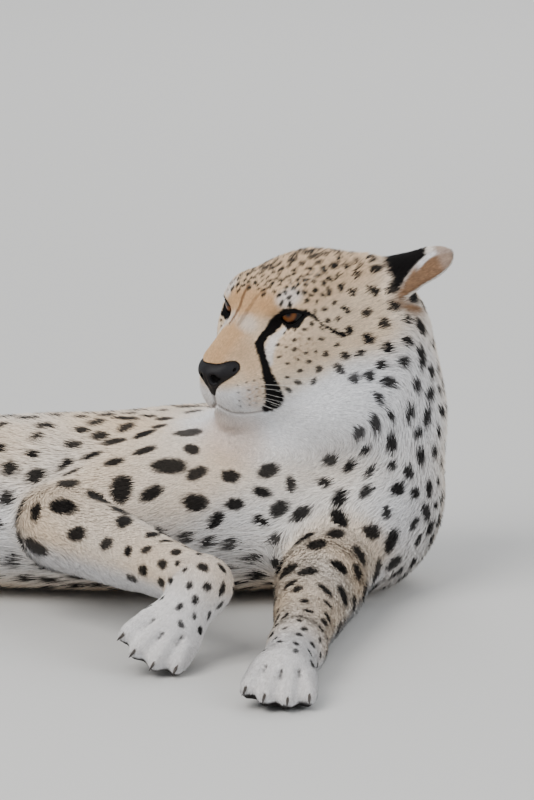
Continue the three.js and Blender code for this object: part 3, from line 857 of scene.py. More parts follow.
CREAM = srgb(240, 214, 184)
PALE = srgb(240, 233, 224)
WHITE = srgb(244, 243, 245)
TAN = srgb(214, 176, 134)
ORANGE = srgb(206, 160, 112)
TAWNY = srgb(220, 190, 152)
BROWN = srgb(112, 78, 52)
RUSTY = srgb(150, 112, 76)
BLACK = srgb(13, 10, 10)
PAD = srgb(30, 26, 26)
TAIL_WHITE = -1372  # x past which the tail's tip is all white
RING_GAP = 58  # from one dark ring to the next


def laid(stations):
    """Places in the head's frame, moved on to the skin, each with its half-width."""
    places = settled([station[:3] for station in stations], skin_field)
    return [(place, station[3]) for place, station in zip(places, stations)]


# Lines on the left of the face, as (f, l, u, half-width).
TEAR = laid([
    (-3, 28, 2, 6.0), (4, 27, -4, 7.0), (12, 25, -10, 5.6), (20, 24, -13, 4.2), (30, 25, -18, 4.9),
    (34, 31, -32, 4.3), (36, 35, -48, 6.4), (35, 38, -62, 9.2), (33, 36, -73, 12.0),
    (37, 32, -79, 8.0),
])
STREAK = laid([
    (-10, 50, 1, 2.2), (-15, 54, 1, 2.4), (-24, 62, -14, 1.2), (-36, 67, -26, 2.2),
    (-43, 68, -30, 3.0),
])
# a brown line in the crease beside the bridge of the nose: partly dark hair, partly painted shade
FROWN_LINE_AND_SHADE = laid([
    (-6, 12, 23, 2.2), (7, 8, 19, 1.9), (18, 6, 12, 2.3), (27, 5.5, 5, 2.6), (35, 5.5, 1, 1.6),
])
UNDER_EYE = laid([
    (-6, 43, -14, 3.5), (4, 35, -16, 4.5), (14, 31, -20, 5), (24, 31, -26, 5), (30, 35, -36, 3.5),
])


def band(p, stations):
    """Below 1 inside a line of stations on the head, each a place and a half-width."""
    out = np.full(len(p), 9.0)
    for (a, wa), (b, wb) in zip(stations[:-1], stations[1:]):
        t, away = segment(p, a, b)
        out = np.minimum(out, np.sqrt(away) / mix(wa, wb, t))
    return out


def over(base, colour, share):
    """base with the colour's share laid over it."""
    return mix(base, colour, np.clip(share, 0, 1)[:, None])


def layered(base, layers):
    """base with each (colour, share) laid over it in turn."""
    for colour, share in layers:
        base = over(base, colour, share)
    return base


def even(colour, count):
    """The same colour, or run of colours, count times."""
    return np.tile(colour, (count, 1))


def body_colour(p, normals, weight, reach):
    """Cream, tawnier on the back, and white under neck, belly, limbs and tail."""
    limb, tail, trunk = weight[1:5].sum(0), weight[5], weight[0]
    x, y, z = p.T
    upward = normals[:, 2]
    back = step(0.0, 0.9, normals[:, 1]) * step(-60, 60, y)
    belly = step(0.25, 0.85, -normals[:, 1]) * step(10, -60, y)
    neck = step(-60, 40, x) * step(120, 170, z) * trunk
    nape = step(145, 165, x + 0.4 * y)
    throat = step(222, 185, z - 0.25 * x)
    chest = step(60, 130, x) * step(20, -40, y) * trunk
    return layered(even(CREAM, len(p)), [
        (TAWNY, back * 0.9),
        (WHITE, belly * trunk * step(150, 90, z)),
        (PALE, 0.35 + 0.35 * ripple(p, 130)),
        (WHITE, neck * step(60, -40, y) * np.maximum(throat, nape) * 0.7),
        (WHITE, chest * 0.7),
        (WHITE, limb * step(0.1, -0.6, upward) * 0.9),
        (WHITE, limb * step(1.7, 2.5, reach) * 0.8),
        (TAWNY, tail * step(-0.4, 0.8, upward) * 0.7),
        (WHITE, tail * step(0.2, -0.7, upward) * 0.8),
        (WHITE, tail * step(-1352, TAIL_WHITE, x)),
    ])


def blob(q, at, near, far, stretch=(1, 1, 1)):
    """1 within near of a place, 0 past far."""
    return 1 - step(near, far, dist(q * stretch, np.array(at) * stretch))


def face_colour(c, p):
    """c with the head's own colours laid over it, and painted shade beside the bridge of the nose and
    under the chin.
    """
    f, l, u = head_place(p).T
    face = head_share(p)
    q = np.column_stack([f, l * np.sign(l + 1e-9), u])  # both sides as the left one
    bridge = face * (1 - step(9, 24, q[:, 1])) * step(-46, -28, u)
    flecks = step(0.15, 0.5, ripple(p, 5.0, 4.0)) * blob(q, (2, 48, -24), 10, 34)
    ruff = blob(p, on_head(-50, 55, -100), 30, 62) * step(0, 10, l)
    frown_and_shade = 1 - step(0.5, 1.25, band(q, FROWN_LINE_AND_SHADE) + 0.2 * ripple(p, 6))
    lips = 1 - step(1.0, 2.8, to_lines(p, MOUTH_LINES))
    return layered(c, [
        (CREAM, face * step(-70, -40, u)),
        (TAN, face * step(-8, 14, u) * 0.55),
        (mix(ORANGE, TAN, 0.35), bridge * step(-14, 6, f) * 0.85),
        (PALE, blob(q, (26, 9, -2), 5, 15) * 0.6),  # between eye and bridge
        (ORANGE, face * blob(q, (6, 22, 12), 6, 16) * 0.75),  # brow
        (TAN, face * blob(q, (45, 22, -28), 8, 26) * 0.55),  # side of the muzzle
        (RUSTY, flecks * 0.4),
        (WHITE, face * step(-64, -82, u + 0.25 * (f - 20)) * step(-70, 0, f)),  # chin
        (WHITE, face * step(38, 60, f) * step(-42, -56, u)),  # upper lip
        (TAN, face * blob(q, (50, 26, -58), 7, 22) * (0.5 + 0.3 * ripple(p, 4))),
        (WHITE, ruff * 0.85),
        (WHITE, blob(q, (-6, 38, 18), 6, 15, (0.7, 1, 1.3)) * 0.55),  # over the eye
        (WHITE, (1 - step(0.5, 1.4, band(q, UNDER_EYE))) * 0.65),
        # crease beside the bridge: dark hair and painted shade, stronger on the right side
        (BROWN, frown_and_shade * mix(0.8, 0.45, step(-3, 3, l))),
        (ORANGE, blob(p, vec(-35, -85, 162), 16, 46) * 0.4),  # shoulder under the chin: golden-tan coat and painted warm shade cast by the head
        (BROWN * 0.3, face * lips),
    ])


def ear_place(ear, p, normals):
    """(0 at the root to 1 at the tip, place across from the dark edge's line, distance from the
    middle, how far it faces back)."""
    root, tip, back = ear["root"], ear["tip"], unit(ear["back"])
    along = unit(tip - root)
    upper = unit(np.cross(along, back))
    upper = upper * np.sign(upper @ UP)
    t = (p - root) @ along / np.linalg.norm(tip - root)
    line = mix(-24.0, 4.0, step(0.05, 0.85, t))
    return t, (p - root) @ upper - line, dist(p, mix(root, tip, 0.5)), normals @ back


def ground_colour(p, normals):
    """The coat's colour without its spots."""
    weight, reach = limb_reach(p)
    c = face_colour(body_colour(p, normals, weight, reach), p)
    for ear in EARS:
        t, across, away, facing = ear_place(ear, p, normals)
        near = (1 - step(38, 52, away)) * step(-0.15, 0.2, t)
        behind = near * step(4, -3, across) * step(-0.4, 0.0, facing)
        rim = near * step(0.45, 0.62, t) * (1 - step(2, 5, np.abs(across + 2)))
        c = layered(c, [
            (mix(RUSTY, BROWN, 0.4 + 0.3 * ripple(p, 6)[:, None]), behind * 0.95),
            (WHITE, rim * 0.85),
            (mix(RUSTY, WHITE, 0.2), near * step(0.8, 0.92, t) * 0.9),
            (PALE, near * step(-0.2, -0.7, facing) * 0.8),
        ])
    return c


def face_marks(p):
    """Tear lines, the streaks behind the eyes, and dark lids."""
    q = head_place(p)
    out = np.zeros(len(p))
    for m in (1, -1):
        mirrored = q * (1, m, 1)
        wobble = ripple(mirrored, 6, 1.0) * 0.14
        out = np.maximum(out, 1 - step(0.8, 1.08, band(mirrored, TEAR) + wobble))
        out = np.maximum(out, 1 - step(0.7, 1.2, band(mirrored, STREAK) + wobble))
    for eye in EYES:
        near = dist(p, eye["centre"]) < EYE_R + 7
        upper = step(-0.1, 0.15, eye_angles(p, eye)[1])
        rim = 1 - step(1.4 + upper, 2.4 + 1.4 * upper, slit(p, eye))
        out = np.maximum(out, np.where(near, rim, 0))
    return out


def ear_marks(p, normals):
    """The black patch on each ear's back."""
    out = np.zeros(len(p))
    for ear in EARS:
        t, across, away, facing = ear_place(ear, p, normals)
        edge = t + 0.04 * ripple(p, 9)
        patch = step(0.08, 0.16, edge) * (1 - step(0.70, 0.78, edge)) * step(0, 3, across)
        out = np.maximum(out, patch * step(-0.3, 0.0, facing) * (1 - step(32, 40, away)))
    return out


def toe_gap_shade(p, normals):
    """Painted shade: dark lines in the gaps between the toes."""
    out = np.zeros(len(p))
    for start, tips, top in paws():
        near = dist(p, tips) < 60
        groove = to_lines(p[near], toe_lines(start, tips, top))
        shown = step(-0.2, 0.3, normals[near] @ unit(top))
        out[near] = np.maximum(out[near], (1 - step(0.8, 2.6, groove)) * shown * 0.8)
    return out


def tail_rings(p, tail):
    """Black rings towards the end of the tail, which is white."""
    x = p[:, 0]
    wave = np.sin((x - TAIL_WHITE) / RING_GAP * 2 * math.pi + 0.25 * ripple(p, 30))
    return step(0.05, 0.35, wave) * tail * step(-1130, -1180, x) * (1 - step(-1356, -1366, x))


def marks_and_toe_shade(p, normals, weight):
    """0 to 1 where the face, the ears and the tail are black, and where painted shade darkens the gaps
    between the toes.
    """
    parts = face_marks(p), ear_marks(p, normals), toe_gap_shade(p, normals), tail_rings(p, weight[5])
    return np.max(parts, 0)


def pads(p, normals):
    """0 to 1 on the bare pads under the toes."""
    out = np.zeros(len(p))
    for start, tips, top in paws():
        under = step(-0.35, -0.6, normals @ unit(top))
        near = 1 - step(46, 54, dist(p, mix(start, tips, 0.7)))
        out = np.maximum(out, under * near)
    return out


def spot_size(p, weight, reach):
    """(distance between spots, their radius) at each point."""
    f, _, u = head_place(p).T
    face, limb = head_share(p), weight[1:5].sum(0)
    elbow = 1 - step(0.3, 0.9, np.abs(reach - 0.9))
    grow = step(40, 150, dist(p, on_head(10, 0, 0)))
    back = step(10, 90, -f)
    gap = mix(21.5, 28.0, step(-60, -500, p[:, 0]))
    size = gap * 0.37
    regions = [
        (step(0, 60, p[:, 0]) * weight[0], 20.0, 7.0),  # neck and chest
        (limb, mix(mix(23, 29, elbow), 15, step(1.2, 2.2, reach)),
         mix(mix(8.0, 10.8, elbow), 3.6, step(1.2, 2.3, reach))),
        (weight[5], 27.0, 8.5),
        (face, mix(8.0, 18, grow), mix(1.5, 6.4, grow)),
        (face * step(0, 20, u), mix(6.2, 12.0, back), mix(2.5, 5.2, back)),  # crown
    ]
    for share, gap_there, size_there in regions:
        gap = mix(gap, gap_there, share)
        size = mix(size, size_there, share)
    return gap, size


def spot_dark(p, normals, weight, reach):
    """How dark a spot would be at each point, 0 to 1."""
    f, l, u = head_place(p).T
    face, limb = head_share(p), weight[1:5].sum(0)
    belly = step(0.45, 0.9, -normals[:, 1]) * step(100, 60, p[:, 2]) * weight[0]
    paler = [
        0.5 * belly,
        limb * step(0.0, -0.5, normals[:, 2]) * 0.6,
        limb * step(2.55, 2.8, reach),
        face * step(-2, 8, f) * (1 - step(30, 40, np.abs(l))),
        face * step(20, 30, f),
    ]
    for ear in EARS:
        t, _, away, _ = ear_place(ear, p, normals)
        paler.append(step(0.1, 0.2, t) * (1 - step(34, 44, away)))
    paler += [
        face * step(-66, -80, u) * step(-60, -30, f),
        0.45 * face * step(5, -10, u) * step(-50, -20, f),
        weight[5] * step(-1140, -1170, p[:, 0]),
    ]
    dark = np.ones(len(p))
    for share in paler:
        dark = dark * (1 - share)
    return dark


SPOT_CELL = 36.0  # more than any gap between spots
NEIGHBOURS = list(itertools.product((-1, 0, 1), repeat=3))
FAINTEST = 0.45  # a spot that would be paler is left out


def spot_cell(place):
    return tuple(int(v) for v in np.floor(place / SPOT_CELL))


def is_clear(place, gap, taken):
    """Whether no place in taken, which lists them by cell, is nearer than the mean gap."""
    i, j, k = spot_cell(place)
    for di, dj, dk in NEIGHBOURS:
        for other, own in taken.get((i + di, j + dj, k + dk), ()):
            if np.sum((other - place) ** 2) < ((gap + own) / 2) ** 2:
                return False
    return True


def one_spot(place, normal, way, size, dark):
    """A spot's place, half length, half-width and darkness."""
    r = size * rng.uniform(0.72, 1.2)
    long = rng.uniform(1.0, 1.6)
    turn = rng.normal(0, 0.6)
    axis = math.cos(turn) * way + math.sin(turn) * np.cross(normal, way)
    return [*place, *(axis * r * long), r / math.sqrt(long), dark**0.1 * rng.uniform(0.96, 1)]


def scatter_spots(points, normals, areas):
    """Spots all over, no two nearer than the local gap, as one_spot gives them."""
    weight, reach = limb_reach(points)
    gap, size = spot_size(points, weight, reach)
    dark = spot_dark(points, normals, weight, reach)
    way = lie(points, normals)
    order = rng.permutation(len(points))
    odds = areas / (gap * gap) * 30  # thirty tries for each spot that there is room for
    order = order[rng.random(len(points)) < np.minimum(odds[order], 1)]
    taken = {}
    rows = []
    for n in order:
        if is_clear(points[n], gap[n], taken):
            taken.setdefault(spot_cell(points[n]), []).append((points[n], gap[n]))
            if dark[n] >= FAINTEST:
                rows.append(one_spot(points[n], normals[n], way[n], size[n], dark[n]))
    return np.array(rows)


def whisker_dots():
    """The rows of small dark dots that the whiskers grow from."""
    at = on_surface(np.array([on_head(*root) for root, _, _ in WHISKERS]), skin_field)
    axis = np.tile(AHEAD * 1.3, (len(at), 1))
    return np.column_stack([at, axis, np.full(len(at), 1.0), np.full(len(at), 0.7)])


def spot_cover(p, spots):
    """How far each point is covered by the nearest spots, 0 to 1."""
    tree = KDTree(len(spots))
    for n, spot in enumerate(spots):
        tree.insert(spot[:3], n)
    tree.balance()
    nearest = np.array([[hit[1] for hit in tree.find_n(q, 5)] for q in p])
    wobble = 0.55 * ripple(p, 8.0) + 0.45 * ripple(p, 3.6, 2.0)
    cover = np.zeros(len(p))
    for column in nearest.T:
        spot = spots[column]
        d, wide = p - spot[:, :3], spot[:, 6]
        long = np.maximum(np.linalg.norm(spot[:, 3:6], axis=1), wide)
        along = (d * unit(spot[:, 3:6])).sum(1)
        across = np.sqrt(np.maximum((d * d).sum(1) - along * along, 0))
        q = np.sqrt((along / long) ** 2 + (across / wide) ** 2)
        q = q + wobble * (0.16 + 0.5 / np.maximum(wide, 2))
        soft = 0.18 + 0.5 / np.maximum(wide, 2)
        cover = np.maximum(cover, (1 - step(1.0 - soft, 1.0 + soft, q)) * spot[:, 7])
    return cover


def coat_colour(p, normals, spots):
    """Ground colour, spots, black marks, painted shade between the toes, the black under the nose
    leather, and the pads.
    """
    c = ground_colour(p, normals)
    c = over(c, BLACK, spot_cover(p, spots) * 0.995)
    # black marks, with painted shade between the toes
    c = over(c, BLACK, marks_and_toe_shade(p, normals, shares(p)))
    near = dist(p, MUZZLE) < 60
    c[near] = over(c[near], BLACK, 1 - step(0.6, 1.2, nose_mass(p[near])))
    return over(c, PAD, pads(p, normals))


# ---- materials


def set_inputs(node, values):
    for name, value in values.items():
        node.inputs[name].default_value = value


def noise(tree, scale, detail):
    place = tree.nodes.new("ShaderNodeTexCoord")
    texture = tree.nodes.new("ShaderNodeTexNoise")
    set_inputs(texture, {"Scale": scale, "Detail": detail})
    tree.links.new(place.outputs["Object"], texture.inputs["Vector"])
    return texture.outputs["Fac"]


def ranged(tree, value, low, high):
    """Noise's middle stretch, spread from low to high."""
    node = tree.nodes.new("ShaderNodeMapRange")
    set_inputs(node, {"From Min": 0.3, "From Max": 0.7, "To Min": low, "To Max": high})
    tree.links.new(value, node.inputs["Value"])
    return node.outputs["Result"]


def shaded(tree, colour, value):
    """colour times value."""
    node = tree.nodes.new("ShaderNodeVectorMath")
    node.operation = "SCALE"
    tree.links.new(colour, node.inputs[0])
    tree.links.new(value, node.inputs["Scale"])
    return node.outputs["Vector"]


def bump(tree, shader, height, strength, distance):
    node = tree.nodes.new("ShaderNodeBump")
    set_inputs(node, {"Strength": strength, "Distance": distance})
    tree.links.new(height, node.inputs["Height"])
    tree.links.new(node.outputs["Normal"], shader.inputs["Normal"])


def tint(tree):
    node = tree.nodes.new("ShaderNodeAttribute")
    node.attribute_name = "tint"
    return node.outputs["Color"]


def new_material(name, values):
    """(material, its node tree, its shader), with the shader's values set."""
    material = bpy.data.materials.new(name)
    material.use_nodes = True
    tree = material.node_tree
    shader = tree.nodes["Principled BSDF"]
    set_inputs(shader, values)
    return material, tree, shader


FUR_SHEEN = {"Sheen Weight": 0.03, "Sheen Roughness": 0.5}


def tinted_material(name, scale, detail, low, high, values):
    """A material of the painted colour, made patchy by noise."""
    material, tree, shader = new_material(name, values)
    patchy = ranged(tree, noise(tree, scale, detail), low, high)
    tree.links.new(shaded(tree, tint(tree), patchy), shader.inputs["Base Color"])
    return material, tree, shader


def fur_material(name, rough, scale):
    values = {"Roughness": rough, "Specular IOR Level": 0.12, **FUR_SHEEN}
    return tinted_material(name, scale, 5.0, 0.86, 1.12, values)


def skin_material():
    material, tree, shader = fur_material("skin_fur", 0.85, 240.0)
    bump(tree, shader, noise(tree, 900.0, 3.0), 0.6, 0.0006)
    return material


def glossy_material(name, rough, scale, depth, low=0.8, high=1.15, specular=0.5):
    values = {"Roughness": rough, "Specular IOR Level": specular}
    material, tree, shader = tinted_material(name, scale, 6.0, low, high, values)
    if depth:
        bump(tree, shader, noise(tree, scale * 3, 3.0), 0.5, depth)
    return material


def paint(thing, colours, material):
    """Gives the piece its colours, its material and the body it rides on."""
    layer = thing.data.color_attributes.new("tint", "FLOAT_COLOR", "POINT")
    rgba = np.column_stack([np.clip(colours, 0, 1), np.ones(len(colours))])
    layer.data.foreach_set("color", rgba.astype(np.float32).ravel())
    thing.data.materials.append(material)
    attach(thing, "root")


# ---- the skin

SHADE_BETWEEN_TUFTS = 0.8  # painted shade: the skin's colour is darkened where it shows between the tufts

skin = build_skin()
FLESH = [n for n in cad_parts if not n.startswith(("eye_", "claw_")) and n != "nose"]
skin_points = np.array([v.co for v in skin.data.vertices]) / MM
skin_normals = vertex_normals(skin)
fine_vertex = head_side(skin_points) > HEAD_END
vertex_area = np.where(fine_vertex, HEAD_CELL**2, BODY_CELL**2) * 1.05
spots = np.concatenate([scatter_spots(skin_points, skin_normals, vertex_area), whisker_dots()])
# the skin's colours, with painted shade between the tufts
skin_tint = coat_colour(skin_points, skin_normals, spots) * SHADE_BETWEEN_TUFTS
paint(skin, skin_tint, skin_material())
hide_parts(*FLESH)


# ---- tufts

TUFTS = 285000
ROOT_DEPTH = 0.5  # how far a tuft starts under the skin
BOX_LOW, BOX_HIGH = (np.array(corner) / MM for corner in cad_box)
BOX_MARGIN = 0.5
TUFT_ROOT_SHADE = (0.80, 0.80, 0.95, 1.10)  # brightness of a tuft's root corners, ridge and tip: painted shade darkens the roots, deep in the coat, and the tip is lighter
BAKE_PATCH = np.array([[-1.5, -1.0], [1.5, -1.0], [0.0, 0.2], [0.0, 1.5]]) * 0.001


def skin_faces():
    """(the vertices of each face of the skin, the faces' areas)."""
    faces = face_corners(skin).reshape(-1, 4)
    a, b, c, d = (skin_points[faces[:, i]] for i in range(4))
    areas = 0.5 * (np.linalg.norm(np.cross(b - a, c - a), axis=1)
                   + np.linalg.norm(np.cross(c - a, d - a), axis=1))
    return faces, areas


def hair_length(p):
    """How long the hair is, in mm: shortest on the face and the feet, longest under the belly."""
    long = coat_depth(p) * 2.35
    trunk = shares(p)[0]
    belly = step(20, -60, p[:, 1]) * step(110, 60, p[:, 2]) * trunk * step(110, 40, p[:, 0])
    long = mix(long, long * 1.7, belly)
    throat = (1 - step(50, 100, dist(p, vec(75, -70, 180)))) * trunk
    return mix(long, long * 1.25, throat)


def hair_width(long):
    """How wide a tuft of that length is at its root."""
    return np.interp(long, [3.5, 6, 13, 22], [0.75, 1.0, 1.6, 1.9])


def is_bare(p):
    """In and round the eyes, under the nose leather and along the lips."""
    bare = to_lines(p, MOUTH_LINES) < 2.4
    for eye in EYES:
        away = dist(p, eye["centre"])
        bare |= (away < EYE_R + 6) & (slit(p, eye) < 1.3)
        bare |= away < EYE_R + 0.9
    near = dist(p, MUZZLE) < 60
    bare[near] |= nose_mass(p[near]) < 0.6
    return bare


def choose_roots():
    """(place, normal) of each tuft, more of them where the hair is short and fine."""
    faces, areas = skin_faces()
    centres = skin_points[faces].mean(1)
    normals = unit(skin_normals[faces].mean(1))
    long = hair_length(centres)
    wanted = areas / (long * hair_width(long)) ** 0.9 * np.where(long < 6, 0.9, 1.0)
    pressed = (centres[:, 2] < 9) & (normals[:, 2] < -0.5)  # where it lies on the floor
    wanted = np.where(pressed | is_bare(centres), 0, wanted * (1 - pads(centres, normals)))
    share = wanted / wanted.sum() * TUFTS
    counts = np.floor(share + rng.random(len(share))).astype(int)
    pick = np.repeat(np.arange(len(faces)), counts)
    u, v = rng.random(len(pick)), rng.random(len(pick))
    weights = np.column_stack([(1 - u) * (1 - v), u * (1 - v), u * v, (1 - u) * v])
    corner = faces[pick]
    at = (skin_points[corner] * weights[:, :, None]).sum(1)
    normal = unit((skin_normals[corner] * weights[:, :, None]).sum(1))
    return at, normal


def build_tufts(at, normal, way, long, wide, lift):
    """Thin three-sided spikes: (points, triangles, point normals), four points to a tuft."""
    side = np.cross(normal, way)
    root = at - normal * ROOT_DEPTH
    left = root + side * wide[:, None] / 2
    right = root - side * wide[:, None] / 2
    ridge = root + normal * (0.45 * wide[:, None] + ROOT_DEPTH) + way * 0.1 * long[:, None]
    tip = at + way * (long * np.cos(lift))[:, None] + normal * (long * np.sin(lift))[:, None]
    points = np.stack([left, right, ridge, tip], 1)
    points = np.clip(points, BOX_LOW + BOX_MARGIN, BOX_HIGH - BOX_MARGIN)
    n = np.arange(len(at))[:, None] * 4
    triangles = np.concatenate([n + (0, 2, 3), n + (2, 1, 3), n + (1, 0, 3), n + (0, 1, 2)], 1)
    out = np.stack([unit(normal + 0.6 * side), unit(normal - 0.6 * side), normal,
                    unit(normal + 0.25 * way)], 1)
    return points.reshape(-1, 3), triangles.reshape(-1, 3), out.reshape(-1, 3)


def unwrap(p):
    """Each root's place on an unwrap of that stretch of the skin, filling a unit square."""
    spread = p - p.mean(0)
    axes = np.linalg.svd(spread[:: max(len(p) // 4000, 1)], full_matrices=False)[2]
    q = spread @ axes.T
    along = np.empty(len(p))
    along[np.argsort(q[:, 0])] = np.linspace(0, 1, len(p))
    around_it = (np.arctan2(q[:, 2], q[:, 1]) + math.pi) / (2 * math.pi)
    return 0.01 + 0.98 * np.column_stack([along, around_it])


def add_map(thing, roots_uv):
    """OFBake, on which each tuft has a small patch at its root's place."""
    corner = face_corners(thing)
    uv = roots_uv[corner // 4] + BAKE_PATCH[corner % 4]
    layer = thing.data.uv_layers.new(name="OFBake")
    layer.data.foreach_set("uv", uv.astype(np.float32).ravel())


def add_coat(name, at, normal, way, long, wide, lift, colour, material):
    """One piece of the coat, with its normals, colours and OFBake map."""
    points, triangles, out = build_tufts(at, normal, way, long, wide, lift)
    thing = make_mesh(name, points, triangles)
    thing.data.normals_split_custom_set_from_vertices(out.astype(np.float32))
    # painted shade: each tuft darker towards its root
    root_shade = np.tile(TUFT_ROOT_SHADE, len(at))
    paint(thing, np.repeat(colour, 4, 0) * root_shade[:, None], material)
    add_map(thing, unwrap(at))


def coat_regions(p):
    """A name for the coat piece that each root belongs to."""
    names = np.full(len(p), "coat_trunk_middle", object)
    names[p[:, 0] > -110] = "coat_shoulders"
    names[p[:, 0] < -430] = "coat_haunches"
    head, f = head_side(p) > 0, head_place(p)[:, 0]
    names[head] = "coat_neck"
    names[head & (f > -125)] = "coat_crown"
    names[head & (f > -42)] = "coat_face"
    limbs = ("foreleg_right", "foreleg_left", "hindleg_right", "hindleg_left", "tail")
    kind = shares(p).argmax(0)
    for number, name in enumerate(limbs, 1):
        names[kind == number] = "coat_" + name
    return names


def combed(at, normal):
    """The way each tuft points: with the lie, but for clumps and stray hairs."""
    way = lie(at, normal)
    side = np.cross(normal, way)
    clump = ripple(at, 17, 0.5) * 0.16 + ripple(at, 7, 1.5) * 0.10
    turn = clump + rng.normal(0, 0.14, len(at))
    return unit(way * np.cos(turn)[:, None] + side * np.sin(turn)[:, None])


def grow_coat():
    """Tufts over the whole skin, in one piece for each region, lifted at most to the outline."""
    at, normal = choose_roots()
    way = combed(at, normal)
    long = hair_length(at) * rng.uniform(0.72, 1.12, len(at))
    wide = hair_width(long) * rng.uniform(0.75, 1.15, len(at))
    top = coat_depth(at) * 0.92
    lift = np.arcsin(np.clip(top / long * rng.uniform(0.45, 1.0, len(at)), 0.05, 0.42))
    middle = at + way * long[:, None] * 0.45
    colour = coat_colour(middle, normal, spots)
    colour = colour * rng.normal(1.0, 0.07, len(at)).clip(0.8, 1.2)[:, None]
    material = fur_material("coat_fur", 0.7, 420.0)[0]
    names = coat_regions(at)
    for name in sorted(set(names)):
        mine = names == name
        add_coat(name, at[mine], normal[mine], way[mine], long[mine], wide[mine], lift[mine],
                 colour[mine], material)


grow_coat()


# ---- tubes


def ring_faces(rings, sides):
    """Quads between rings of points."""
    faces = []
    for i in range(rings - 1):
        for k in range(sides):
            j = (k + 1) % sides
            faces.append((i * sides + k, i * sides + j, (i + 1) * sides + j, (i + 1) * sides + k))
    return faces


def tube(points, radii, sides, squash=1.0, top=UP):
    """A tube with open ends through the points: (points, faces)."""
    points = np.asarray(points, float)
    ways = unit(np.gradient(points, axis=0))
    rings = []
    for at, way, r in zip(points, ways, radii):
        x = unit(np.cross(way, top))
        y = np.cross(x, way)
        a = np.arange(sides) * 2 * math.pi / sides
        rings.append(at + r * (squash * np.cos(a)[:, None] * x + np.sin(a)[:, None] * y))
    return np.concatenate(rings), np.array(ring_faces(len(points), sides))


def join_tubes(name, tubes):
    """One mesh of several tubes."""
    points, faces, base = [], [], 0
    for p, f in tubes:
        points.append(p)
        faces.append(f + base)
        base += len(p)
    return make_mesh(name, np.concatenate(points), np.concatenate(faces))


# ---- eyes

PUPIL, IRIS = 0.15, 0.56  # radians from the middle of the gaze
AMBER, RUST, DARK_EYE = srgb(104, 62, 28), srgb(56, 30, 16), srgb(7, 6, 6)
PUPIL_BLACK, RIM = srgb(5, 5, 6), srgb(9, 8, 8)


def eyeball(eye):
    """A ball with a bulging cornea, finest over the iris, and its colours."""
    theta = np.concatenate([np.linspace(0, 0.7, 56), np.linspace(0.74, math.pi, 22)])[1:-1]
    phi = np.linspace(0, 2 * math.pi, 120, endpoint=False)
    t, a = np.meshgrid(theta, phi, indexing="ij")
    t, a = np.append(t.ravel(), [0.0, math.pi]), np.append(a.ravel(), [0.0, 0.0])
    bulge = EYE_R + 0.9 * np.clip(1 - (t / 0.62) ** 2, 0, 1)
    x = unit(np.cross(UP, eye["gaze"]))
    y = np.cross(eye["gaze"], x)
    points = (eye["gaze"] * np.cos(t)[:, None] + x * (np.sin(t) * np.cos(a))[:, None]
              + y * (np.sin(t) * np.sin(a))[:, None]) * bulge[:, None]
    cols, front, last = len(phi), len(points) - 2, len(points) - 2 - len(phi)
    faces = [(a, d, c, b) for a, b, c, d in ring_faces(len(theta), cols)]
    faces += [(front, c, (c + 1) % cols) for c in range(cols)]
    faces += [(front + 1, last + (c + 1) % cols, last + c) for c in range(cols)]
    mesh = bpy.data.meshes.new("eye")
    mesh.from_pydata((points + eye["centre"]) * MM, [], faces)
    mesh.polygons.foreach_set("use_smooth", np.ones(len(mesh.polygons), bool))
    return add_object("eye_ball_" + eye["name"], mesh), eye_colour(t, a)


def eye_colour(t, a):
    """Colour at t radians from the pupil's middle and a radians round it."""
    fibres = 0.5 + 0.5 * np.sin(a * 37 + 2.0 * np.sin(a * 11) + 3 * t / IRIS)
    amber = step(PUPIL, IRIS * 0.6, t) * (0.72 + 0.28 * fibres)
    return layered(mix(RUST, AMBER, amber[:, None]), [
        (RUST, step(IRIS * 0.72, IRIS * 0.95, t)),
        (DARK_EYE, step(IRIS - 0.05, IRIS + 0.02, t)),
        (PUPIL_BLACK, 1 - step(PUPIL - 0.02, PUPIL + 0.015, t)),
    ])


def lid_rims(eye):
    """The dark wet edges of the lids, along the opening."""
    t = np.linspace(-1, 1, 41)
    tubes = []
    for height, thick in ((lid_top(t), 1.35), (lid_low(t), 1.05)):
        across = t * HALF_OPENING
        way = (np.cos(height) * np.cos(across))[:, None] * LID_AIM
        way = way + (np.cos(height) * np.sin(across))[:, None] * LID_OUT
        way = way + np.sin(height)[:, None] * LID_OVER
        local = (EYE_AT + way * (EYE_R + 0.9)) * (1, eye["m"], 1)
        radii = thick * (1 - 0.97 * np.abs(t) ** 6)
        tubes.append(tube(BROW + local @ HEAD_AXES, radii, 10))
    return tubes


def build_eyes():
    wet = glossy_material("eye_wet", 0.12, 300.0, 0, 0.95, 1.05, 0.25)
    rim_look = glossy_material("lid_rim", 0.6, 500.0, 0.0002, specular=0.08)
    for eye in EYES:
        ball, colours = eyeball(eye)
        paint(ball, colours, wet)
        rims = join_tubes("lid_rims_" + eye["name"], lid_rims(eye))
        paint(rims, even(RIM, len(rims.data.vertices)), rim_look)
        for thing in (ball, rims):
            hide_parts("eye_" + eye["name"])


build_eyes()


# ---- nose leather


def build_nose():
    middle = on_head(69, 0, -40)
    points, quads = surface(nose_field, middle - 34, middle + 34, 0.8)
    thing = make_mesh("nose_leather", points, quads)
    # painted shade: the leather darkened to near black inside the nostrils
    nostril_shade = np.zeros(len(points))
    for m in (1, -1):
        nostril_shade = np.maximum(nostril_shade, 1 - step(3, 7, dist(points, on_head(77, 8 * m, -38))))
    colour = over(even(srgb(22, 20, 23), len(points)), srgb(4, 4, 4), nostril_shade)
    look = glossy_material("wet_leather", 0.5, 700.0, 0.0004, 0.7, 1.3, 0.25)
    paint(thing, colour, look)
    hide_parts("nose")


build_nose()


# ---- claws and whiskers


CLAW_STEPS, CLAW_SIDES = 9, 10


